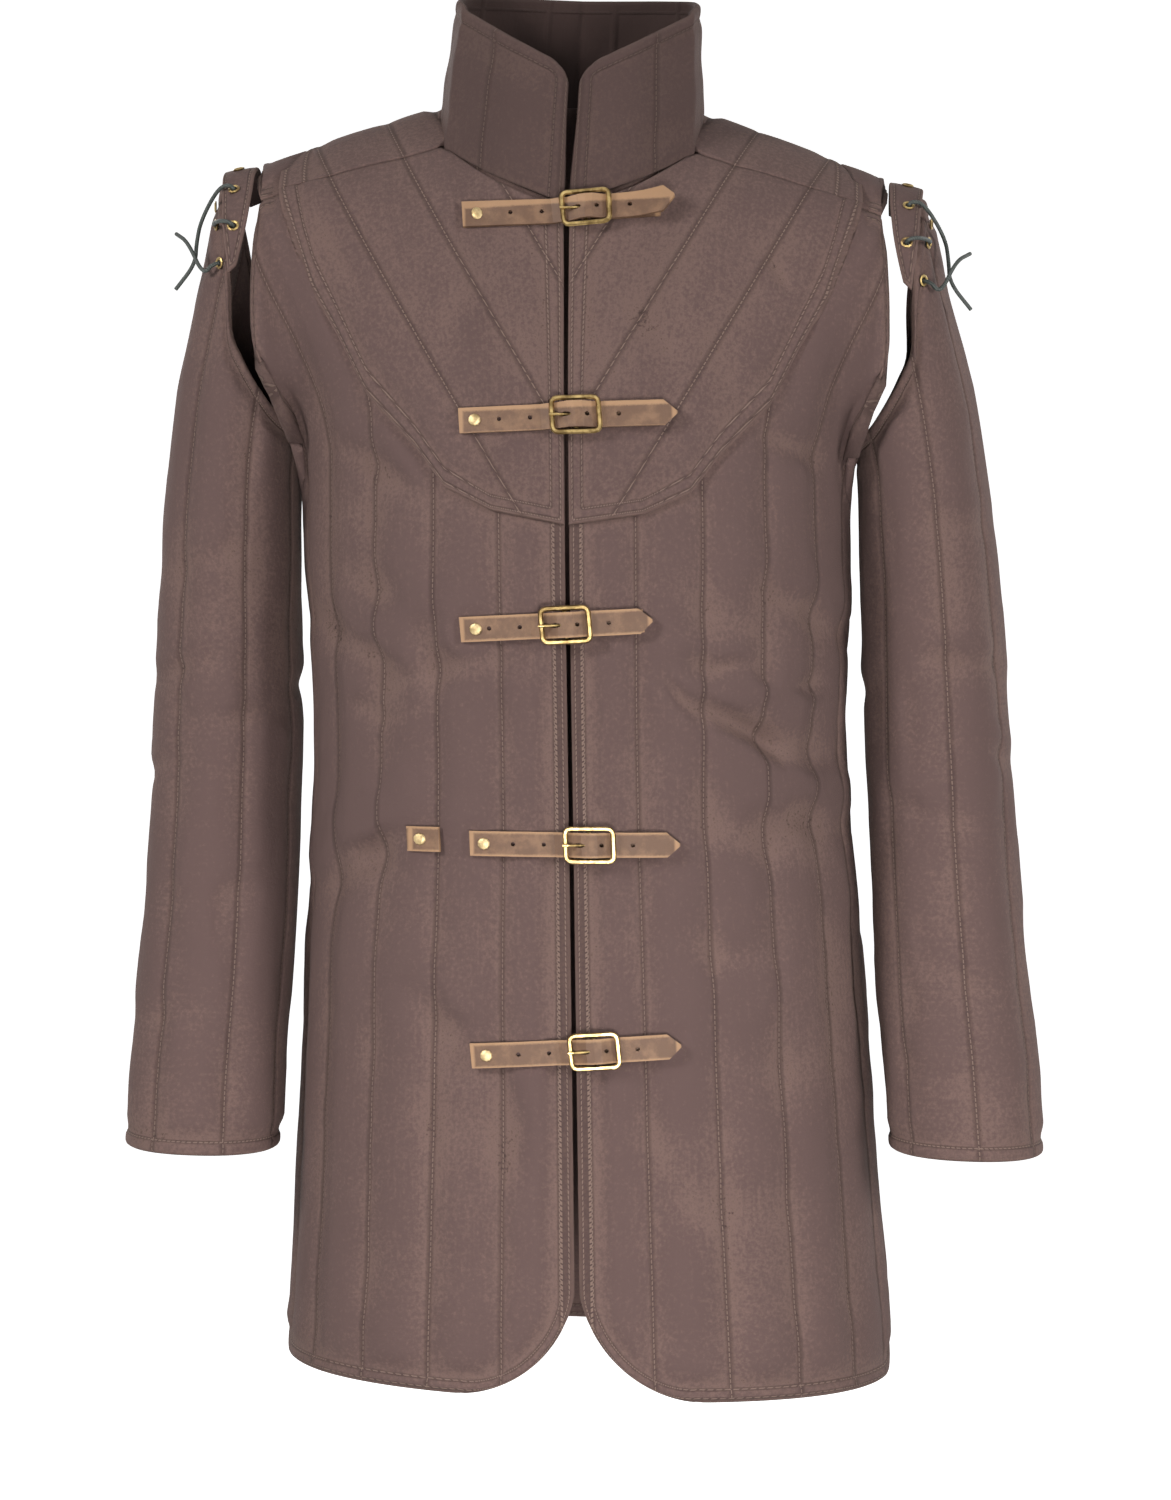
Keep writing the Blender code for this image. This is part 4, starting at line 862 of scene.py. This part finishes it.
# Sleeves. Each is one tube of quilted canvas with seven channels, an oblique open head and a banded cuff.
# They hang from the shoulder tabs by laces only, so that the armhole gapes in front.
SLEEVE_PUFF = 2.6
SLEEVE_MOST_LIFT = 3.6
SLEEVE_CHANNELS = 7
SLEEVE_ROWS = (
    # z, outermost x, half width, half depth, middle y
    (-38, 234, 36, 62, 5),
    (-100, 247, 42, 67, 5),
    (-160, 262, 44, 68, 5),
    (-230, 273, 44, 69, 5),
    (-300, 281, 46.5, 69, 6),
    (-390, 287, 49, 67, 7),
    (-490, 292, 50, 64, -3),
    (-560, 297, 51, 61, -18),
    (-640, 304, 52, 58, -36),
    (-695, 307, 52.5, 57, -46),
)
SLEEVE_HEAD = (
    # degrees from the outer side, z of the open rim
    (0, -46), (30, -60), (56, -93), (71, -121), (81, -147), (90, -160), (120, -190), (180, -213),
)
CUFF_Z = {-1: -688.0, 1: -674.0}
SLEEVE_TURN = {-1: 9.0, 1: 32.0}
SLEEVE_CREASES = {
    # degrees, z, half width, depth, slant
    -1: ((60, -372, 7.0, 2.6, 0.10), (110, -402, 8.0, 2.4, -0.08), (30, -440, 8.0, 2.0, 0.12),
         (80, -300, 9.0, 1.8, 0.15), (95, -520, 9.0, 1.8, -0.10), (200, -380, 8.0, 2.4, 0.06),
         (250, -430, 9.0, 2.0, -0.10), (60, -600, 10.0, 1.4, 0.1), (300, -340, 8.0, 1.8, 0.1)),
    1: ((70, -352, 7.0, 2.8, -0.10), (40, -412, 8.0, 2.4, 0.10), (100, -452, 8.0, 2.2, 0.08),
        (60, -262, 9.0, 1.8, -0.12), (85, -560, 9.0, 1.6, 0.10), (190, -372, 8.0, 2.4, -0.06),
        (240, -450, 9.0, 2.0, 0.10), (110, -620, 10.0, 1.4, 0.1), (310, -330, 8.0, 1.8, -0.1)),
}
sleeve_size = smooth_through(SLEEVE_ROWS)
sleeve_head = smooth_through(SLEEVE_HEAD)
SLEEVE_Z = np.arange(-700, -30, 1.0)
SLEEVE_SIZES = np.array([sleeve_size(z) for z in SLEEVE_Z])


def head_height(degrees):
    return float(sleeve_head(abs((degrees + 180) % 360 - 180))[0])


def sleeve_point(degrees, z, lift):
    """Points of the sleeve's stitched level, moved out by lift; 0 degrees is the outer side, 90 the front."""
    outer, half, depth, middle = [np.interp(z, SLEEVE_Z, SLEEVE_SIZES[:, k]) for k in range(4)]
    a = np.radians(degrees)
    half, depth = half - SLEEVE_PUFF, depth - SLEEVE_PUFF
    ca, sa = np.cos(a), np.sin(a)
    nx, ny = ca / half, sa / depth
    size = np.hypot(nx, ny)
    x = outer - SLEEVE_PUFF - half + half * np.sign(ca) * np.abs(ca) ** 0.92 + lift * nx / size
    y = middle - depth * np.sign(sa) * np.abs(sa) ** 0.92 - lift * ny / size
    return np.stack([x, y, z + 0 * x], axis=-1)


def sleeve(name, side, rows, steps, seed):
    columns = SLEEVE_CHANNELS * steps
    degrees = SLEEVE_TURN[side] + 360.0 * np.arange(columns + 1) / columns
    counts = np.arange(columns + 1) / steps
    heads = np.array([head_height(d) for d in degrees])
    bands = np.array([0.0, 0.4, 1.2, 2.4, 4.0, 6.5, 9.5])
    z = np.array([np.concatenate([h - bands, np.linspace(h - BAND, CUFF_Z[side] + BAND, rows)[1:-1],
                                  CUFF_Z[side] + bands[::-1]]) for h in heads])
    angle = spread(degrees, z)
    edge = np.minimum(heads[:, None] - z, z - CUFF_Z[side])
    count = spread(counts, z)
    lift = puffed(count, -z, seed, SLEEVE_PUFF + 0.7) * ramp((edge - BAND) / 12)
    for middle, level, width, depth, slant in SLEEVE_CREASES[side]:
        turn = (angle - middle + 180) % 360 - 180
        gap = z - level - slant * turn - 4 * np.sin(turn / 17)
        reach = np.exp(-(turn / 34) ** 2)
        fold = 0.55 * np.exp(-((gap - 1.9 * width) / width) ** 2) - np.exp(-(gap / width) ** 2)
        lift += depth * reach * fold * ramp((edge - 2) / 12)
    wave = 2 * np.pi * count / SLEEVE_CHANNELS
    sag = 1.5 * noise(6 + 2.5 * np.cos(wave) + 1.3 * np.sin(2 * wave), z / 38, seed + 4)
    lift += sag * ramp((edge - BAND) / 14)
    lift = np.where(edge < BAND, piped(edge, 1.4), lift)
    lift = np.minimum(lift, SLEEVE_MOST_LIFT)
    roll = rolled(edge, WALL + 1.0)
    outer = sleeve_point(angle, z, lift + roll)
    inner = sleeve_point(angle, z, -WALL - 0.4 * np.clip(lift, 0, 2) + np.minimum(lift, 0) - roll)
    outer[-1], inner[-1] = outer[0], inner[0]
    cloth = np.stack([angle * 0.93, -z, edge], axis=-1)
    near_line = np.minimum(count - np.floor(count), np.ceil(count) - count)
    marks = {"quilt": near_line, "cloth": cloth, "rise": np.clip(lift / 4, *RISE_MARK)}
    return shell(name, side, outer, inner, marks, closed=True)


for side, word, seed in ((-1, "right", 111), (1, "left", 131)):
    piece = sleeve(f"sleeve_{word}_cloth", side, 170, 18, seed)
    worn(piece, f"sleeve_{word}", canvas(f"brown cotton canvas of the {word} sleeve", edge_rows=(8.8,)),
         (0.345, 0.64), 0.195, "hung", f"lace_{word}_cord")

# Shoulder tabs. A narrow canvas flap sewn into each armhole seam lies over the shoulder point.
# It carries three brass eyelets that face three more in the sleeve head.
TAB_WALL = 3.0
TAB_LIFT = 1.5
TAB_LENGTH = 140
HOLE_RADIUS = 2.2
PUNCH_LENGTH = 18
EYELET_SEAT = 1.1
TAB_EYELETS = ((0.47, 0.52), (0.68, 0.58), (0.86, 0.52))
SLEEVE_EYELETS = ((18.0, -12.0), (36.0, -12.0), (55.0, -12.0))
TAB_ROWS = (
    # t, inner x, y, z, outer x, y, z
    (0.00, 209.5, 42, -57, 221, 40, -62),
    (0.20, 209.5, 20, -45, 229, 20, -51),
    (0.40, 209.5, 0, -40.5, 232, 0, -45),
    (0.55, 209.5, -20, -45, 231, -20, -50),
    (0.70, 209.5, -38, -58, 229, -38, -62),
    (0.85, 211.5, -55, -79, 227, -56, -82),
    (1.00, 216.5, -68, -107, 222, -69, -112),
)
tab_edge = smooth_through(TAB_ROWS)


def tab_point(t, f, lift):
    """Point of a shoulder tab and its outward direction; t runs from the back to the front tip."""
    def at(t, f):
        row = tab_edge(t)
        return row[:3] * (1 - f) + row[3:] * f

    along = at(min(t + 0.02, 1), f) - at(max(t - 0.02, 0), f)
    across = at(t, 1.0) - at(t, 0.0)
    n = np.cross(along, across)
    n = n / np.linalg.norm(n)
    if n[2] < 0 and n[1] > 0 or n[2] < -0.5:
        n = -n
    return at(t, f) + n * lift, n


def flip(p, side):
    return np.array([p[0] * side, p[1], p[2]])


def tab(name, side, columns=64, rows=14):
    outer = np.empty((columns + 1, rows + 1, 3))
    inner = np.empty_like(outer)
    cloth = np.empty_like(outer)
    rise = np.empty(outer.shape[:2])
    for i in range(columns + 1):
        for j in range(rows + 1):
            t, f = (1 - math.cos(math.pi * i / columns)) / 2, (1 - math.cos(math.pi * j / rows)) / 2
            row = tab_edge(t)
            width = float(np.linalg.norm(row[3:] - row[:3]))
            edge = min(f * width, (1 - f) * width, t * TAB_LENGTH + 0.01, (1 - t) * TAB_LENGTH + 0.01)
            swell = 0.35 * float(ramp((edge - 2.0) / 3.5))
            swell += 0.25 * float(noise(np.float64(t * 9), np.float64(f * 2), 5))
            roll = float(rolled(np.array(edge), TAB_WALL))
            top = TAB_LIFT + TAB_WALL + swell * float(ramp(edge / 2)) + roll
            outer[i, j] = flip(tab_point(t, f, top)[0], side)
            inner[i, j] = flip(tab_point(t, f, TAB_LIFT - roll * 0.5)[0], side)
            cloth[i, j] = (f * width, t * TAB_LENGTH, edge)
            rise[i, j] = 0.5 + swell
    return shell(name, 1, outer, inner, {"quilt": np.full(rise.shape, 0.5), "cloth": cloth, "rise": rise})


def punched(obj, spots):
    """Punch a round hole through the cloth under each eyelet."""
    helpers = []
    for p, n in spots:
        bm = bmesh.new()
        bmesh.ops.create_cone(bm, cap_ends=True, segments=20, radius1=HOLE_RADIUS * MM,
                              radius2=HOLE_RADIUS * MM, depth=PUNCH_LENGTH * MM)
        turn = Vector((0, 0, 1)).rotation_difference(n).to_matrix()
        for v in bm.verts:
            v.co = turn @ v.co + p
        helper = placed("hole", meshed(bm, "hole"))
        change = obj.modifiers.new("hole", "BOOLEAN")
        change.operation = "DIFFERENCE"
        change.solver = "EXACT"
        change.object = helper
        helpers.append(helper)
    done = bpy.data.meshes.new_from_object(obj.evaluated_get(bpy.context.evaluated_depsgraph_get()))
    obj.modifiers.clear()
    old, name = obj.data, obj.data.name
    obj.data = done
    bpy.data.meshes.remove(old)
    done.name = name
    for helper in helpers:
        mesh = helper.data
        bpy.data.objects.remove(helper, do_unlink=True)
        bpy.data.meshes.remove(mesh)


def eyelet_spots(side):
    tabs, sleeves = [], []
    for t, f in TAB_EYELETS:
        p, n = tab_point(t, f, TAB_LIFT + TAB_WALL)
        tabs.append((Vector(lean(flip(p, side))), Vector(flip(n, side))))
    for degrees, drop in SLEEVE_EYELETS:
        z = head_height(degrees) + drop
        p, q = [flip(sleeve_point(degrees, z, EYELET_SEAT + k), side) for k in (0, 1)]
        sleeves.append((Vector(lean(p)), Vector(q - p).normalized()))
    return tabs, sleeves


spots = {side: eyelet_spots(side) for side in (-1, 1)}
for side, word in ((-1, "right"), (1, "left")):
    piece = tab(f"tab_{word}_cloth", side)
    punched(piece, [(p - n * 1.5 * MM, n) for p, n in spots[side][0]])
    worn(piece, f"shoulder_tab_{word}", canvas(f"brown cotton canvas of the {word} tab", edge_rows=(2.6,)),
         (0.023, 0.14), 0.0025, "laid", f"sleeve_{word}_cloth")
    punched(bpy.data.objects[f"sleeve_{word}_cloth"], [(p - n * 3 * MM, n) for p, n in spots[side][1]])

# Eyelets. Two-part rolled brass rings, dulled with handling. Three are set in each tab and three in each
# sleeve head, over punched holes that the laces pass through.


def metal(name, base, dark, rough):
    """Aged cast or rolled brass: patches of brighter and browner metal, with fine scratches."""
    mat, tree, shader = finish_named(name)
    place = node(tree, "TexCoord").outputs["Object"]
    stain = mottle(place, 160.0, 4.0, 0.6)
    tree.links.new(mix(band_of(stain, 0.36, 0.62), base, dark), shader.inputs["Base Color"])
    gloss = maths("ADD", maths("MULTIPLY", stain, 0.30), rough - 0.15)
    tree.links.new(gloss, shader.inputs["Roughness"])
    bumped(shader, mottle(place, 900.0, 2.0), 0.25, 0.0003)
    shader.inputs["Metallic"].default_value = 1.0
    return mat


def dress(word, material, bevel=0.0):
    """Give a CAD node its finish, and soften its edges when a bevel width is given."""
    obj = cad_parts[word]
    obj.data.materials.clear()
    obj.data.materials.append(material)
    if bevel:
        change = obj.modifiers.new("soft edges", "BEVEL")
        change.width = bevel * MM
        change.segments = 2
        change.limit_method = "ANGLE"
        change.angle_limit = math.radians(50)


eyelet_brass = metal("dulled rolled brass", "#A8925F", "#6E5A3C", 0.42)
for word in ("right", "left"):
    for k in (1, 2, 3):
        for part in ("tab", "sleeve"):
            dress(f"{part}_eyelet_{word}_{k}", eyelet_brass)

# Laces. One dark waxed cord at each shoulder, threaded through the tab's and the sleeve's eyelets in turn.
# Its crossings lie over the tab's edge, and both cut ends hang free in front of the sleeve.
LACE_RADIUS = 1.35
LACE_OUT = 4.6
TAB_UNDER = -5.4
SLEEVE_UNDER = -9.0


def lace_route(side):
    tabs, sleeves = spots[side]

    def by(spot, lift):
        return spot[0] + spot[1] * lift * MM

    def free(x, y, z):
        return Vector(lean(np.array([x * side, y, z], float)))

    def over(degrees, z, lift):
        return Vector(lean(flip(sleeve_point(degrees, z, SLEEVE_PUFF + lift), side)))

    def between(a, b, lift):
        p, q = by(a, LACE_OUT), by(b, LACE_OUT)
        return p * 0.7 + q * 0.3 + (a[1] + b[1]).normalized() * lift * MM

    t2, t3 = tabs[1:]
    s1, s2, s3 = sleeves
    return [free(262, -30, -84), free(252, -46, -90), over(50, -112, 7.0), by(s3, LACE_OUT + 1),
            by(s3, SLEEVE_UNDER), by(s3, SLEEVE_UNDER) + Vector((-6 * side, 4, 26)) * MM,
            by(t3, TAB_UNDER - 2), by(t3, TAB_UNDER), by(t3, LACE_OUT), between(t3, s2, 6),
            by(s2, LACE_OUT), by(s2, SLEEVE_UNDER), by(t2, TAB_UNDER - 2), by(t2, TAB_UNDER),
            by(t2, LACE_OUT), between(t2, s1, 6), over(24, -74, 8.0), over(34, -90, 10.0),
            over(38, -104, 9.0), free(262, -38, -121)]


def rounded(points, times=3):
    """Cut each corner of a route again and again until it bends like cord."""
    for _ in range(times):
        made = [points[0]]
        for a, b in zip(points, points[1:]):
            made += [a.lerp(b, 0.25), a.lerp(b, 0.75)]
        points = made + [points[-1]]
    return points


def cord_material(name):
    """Dark green-black waxed cord with its twisted lay."""
    mat, tree, shader = finish_named(name)
    place = node(tree, "TexCoord").outputs["Object"]
    lay = node(tree, "TexWave", {"Scale": 260.0, "Distortion": 2.0, "Detail": 2.0}, {"Vector": place},
               bands_direction="DIAGONAL")
    tree.links.new(mix(lay.outputs["Fac"], "#1D211E", "#343A35"), shader.inputs["Base Color"])
    bumped(shader, lay.outputs["Fac"], 0.6, 0.0004)
    shader.inputs["Roughness"].default_value = 0.62
    return mat


waxed_cord = cord_material("dark waxed cord")
for side, word in ((-1, "right"), (1, "left")):
    route = rounded(lace_route(side))
    data = bpy.data.curves.new(f"lace_{word}_cord", "CURVE")
    data.dimensions = "3D"
    data.bevel_depth = LACE_RADIUS * MM
    data.bevel_resolution = 4
    data.use_fill_caps = True
    line = data.splines.new("POLY")
    line.points.add(len(route) - 1)
    for k, p in enumerate(route):
        line.points[k].co = (*p, 1)
    piece = placed(f"lace_{word}_cord", data)
    data.materials.append(waxed_cord)
    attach(piece, "root")
    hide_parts(f"lace_{word}")

# Straps. Five vegetable-tanned leather straps are riveted to the right front and pass through brass buckles
# on short folded leather loops on the left front. Their edges are burnished lighter by wear.


def leather(name, middle, rise, half_width, ends):
    """Tanned leather: pebbled grain, darker handling marks, and edges worn pale."""
    mat, tree, shader = finish_named(name)
    place = node(tree, "TexCoord").outputs["Object"]
    level = node(tree, "Mapping", {"Location": tuple(-c * MM for c in middle)}, {"Vector": place})
    turned = node(tree, "Mapping", {"Rotation": (0.0, math.radians(rise), 0.0)}, {"Vector": level.outputs[0]})
    parts = node(tree, "SeparateXYZ", links={"Vector": turned.outputs[0]}).outputs
    across = maths("MULTIPLY", maths("ABSOLUTE", parts[2]), 1000.0)
    along = maths("MULTIPLY", parts[0], 1000.0)
    grain = node(tree, "TexVoronoi", {"Scale": 950.0}, {"Vector": place}, feature="DISTANCE_TO_EDGE")
    cloud = mottle(place, 90.0, 4.0, 0.6)
    fine = mottle(place, 700.0, 3.0)
    base = mix(band_of(cloud, 0.60, 0.30), "#71553F", "#5A4130")
    worn = band_of(maths("ADD", across, maths("MULTIPLY", fine, 1.2)),
                   half_width + 0.2, half_width - 1.6)
    for end in ends:
        near = maths("ABSOLUTE", maths("SUBTRACT", along, end))
        worn = maths("MAXIMUM", worn, band_of(near, 0.6, 2.6))
    base = mix(maths("MULTIPLY", worn, 0.75), base, "#9C7958")
    tree.links.new(base, shader.inputs["Base Color"])
    height = maths("ADD", maths("MULTIPLY", band_of(grain.outputs[0], 0.0, 0.12), -0.5),
                   maths("MULTIPLY", fine, 0.8))
    bumped(shader, height, 0.35, 0.0004)
    shader.inputs["Roughness"].default_value = 0.58
    shader.inputs["Specular IOR Level"].default_value = 0.35
    return mat


def seat_middle(row):
    x, z = row[0], row[1]
    p = lean(np.array([x, -120.0, z], float)) / MM
    return (float(p[0]), 0.0, float(p[2]))


for k, row in enumerate(STRAP_ROWS, 1):
    tilt = row[2] - math.degrees(-LEAN_Z)
    strap_leather = leather(f"tan strap leather {k}", seat_middle(row), tilt, 8.0, (row[4], row[5]))
    loop_leather = leather(f"tan loop leather {k}", seat_middle(row), tilt, 7.2, (46.0,))
    dress(f"strap_{k}", strap_leather, 0.5)
    dress(f"buckle_strap_{k}", loop_leather, 0.3)
stub_leather = leather("tan stub leather", seat_middle((-94.0, -473)), 0.4, 8.0, (-10.5, 10.5))
dress("stub_tab", stub_leather, 0.5)

# Buckles and rivets. Cast brass frames with a bent centre bar and a wire prong that rests on the frame.
# Domed brass caps close the rivets that hold each strap, each buckle's loop and the short stub at the waist.
cast_brass = metal("aged cast brass", "#B39B68", "#7A6540", 0.34)
rivet_brass = metal("brushed brass rivet", "#BBA67E", "#94805C", 0.50)
for k in range(1, 6):
    dress(f"buckle_{k}", cast_brass)
    dress(f"prong_{k}", cast_brass)
    dress(f"strap_rivet_{k}", rivet_brass)
    dress(f"buckle_rivet_{k}", rivet_brass)
dress("stub_rivet", rivet_brass)

# Studio. A plain pale floor that rises in a pale cove all round, lit by soft lamps from both sides, from low
# in front and from behind.
FLOOR_Z = -1.45
COVE_START = 7.0
COVE_RADIUS = 1.5


def studio():
    bm = bmesh.new()
    profile = [(0.0, FLOOR_Z), (COVE_START / 2, FLOOR_Z), (COVE_START, FLOOR_Z)]
    for a in np.linspace(0, math.pi / 2, 8)[1:]:
        profile.append((COVE_START + COVE_RADIUS * math.sin(a), FLOOR_Z + COVE_RADIUS * (1 - math.cos(a))))
    profile += [(8.5, 4.0), (7.4, 7.0), (4.0, 8.6), (0.0, 9.0)]
    line = [bm.verts.new((x, 0.0, z)) for x, z in profile]
    edges = [bm.edges.new(pair) for pair in zip(line, line[1:])]
    bmesh.ops.spin(bm, geom=line + edges, cent=(0, 0, 0), axis=(0, 0, 1), angle=math.tau, steps=48,
                   use_merge=True)
    bmesh.ops.remove_doubles(bm, verts=bm.verts, dist=1e-4)
    bmesh.ops.recalc_face_normals(bm, faces=bm.faces)
    bmesh.ops.reverse_faces(bm, faces=bm.faces)
    mesh = meshed(bm, "pale floor and cove")
    mesh.shade_smooth()
    obj = placed("pale_floor", mesh)
    mat, _, shader = finish_named("pale lit paper")
    shader.inputs["Base Color"].default_value = colour("#F7F6F4")
    shader.inputs["Roughness"].default_value = 0.9
    shader.inputs["Emission Color"].default_value = colour("#FFFFFF")
    shader.inputs["Emission Strength"].default_value = 0.95
    mesh.materials.append(mat)
    obj.visible_diffuse = False


def lamp(name, place, target, size, power, spread):
    data = bpy.data.lights.new(name, "AREA")
    data.spread = math.radians(spread)
    data.shape = "RECTANGLE"
    data.size, data.size_y = size
    data.energy = power
    obj = placed(name, data)
    obj.location = place
    obj.rotation_euler = (Vector(target) - Vector(place)).to_track_quat("-Z", "Y").to_euler()


studio()
lamp("key", (-2.3, -1.9, 1.1), (0.05, 0, -0.6), (0.7, 0.8), 25, 100)
lamp("fill", (2.4, -1.6, 0.3), (0, 0, -0.6), (0.7, 0.9), 16, 100)
lamp("low", (0.25, -2.6, -1.0), (0.05, 0, -0.85), (0.7, 0.6), 14, 80)
lamp("back", (-1.4, 2.8, 0.5), (0, 0, -0.4), (1.2, 1.4), 34, 150)
lamp("back_fill", (1.8, 2.2, 0.3), (0, 0, -0.4), (1.2, 1.4), 17, 150)

world = bpy.data.worlds.new("studio")
world.use_nodes = True
world.node_tree.nodes["Background"].inputs["Color"].default_value = colour("#F4F3F1")
world.node_tree.nodes["Background"].inputs["Strength"].default_value = 0.12
bpy.context.scene.world = world
bpy.context.scene.view_settings.view_transform = "Standard"

# Camera. It stands in front of the chest, a little to the wearer's left.
# FRAME_HEIGHT is the height in metres that fills the picture at the target's distance.
VIEW_DISTANCE = 2.75
VIEW_TURN = 3.0
VIEW_HEIGHT = -0.255
VIEW_TARGET = (0.009, 0.0, -0.42)
FRAME_HEIGHT = 1.005
camera_data = bpy.data.cameras.new("camera")
camera_data.lens = camera_data.sensor_width / FRAME_HEIGHT * VIEW_DISTANCE
camera = placed("camera", camera_data)
camera.location = (VIEW_TARGET[0] + VIEW_DISTANCE * math.sin(math.radians(VIEW_TURN)),
                   -VIEW_DISTANCE * math.cos(math.radians(VIEW_TURN)), VIEW_HEIGHT)
camera.rotation_euler = (Vector(VIEW_TARGET) - camera.location).to_track_quat("-Z", "Y").to_euler()
bpy.context.scene.camera = camera
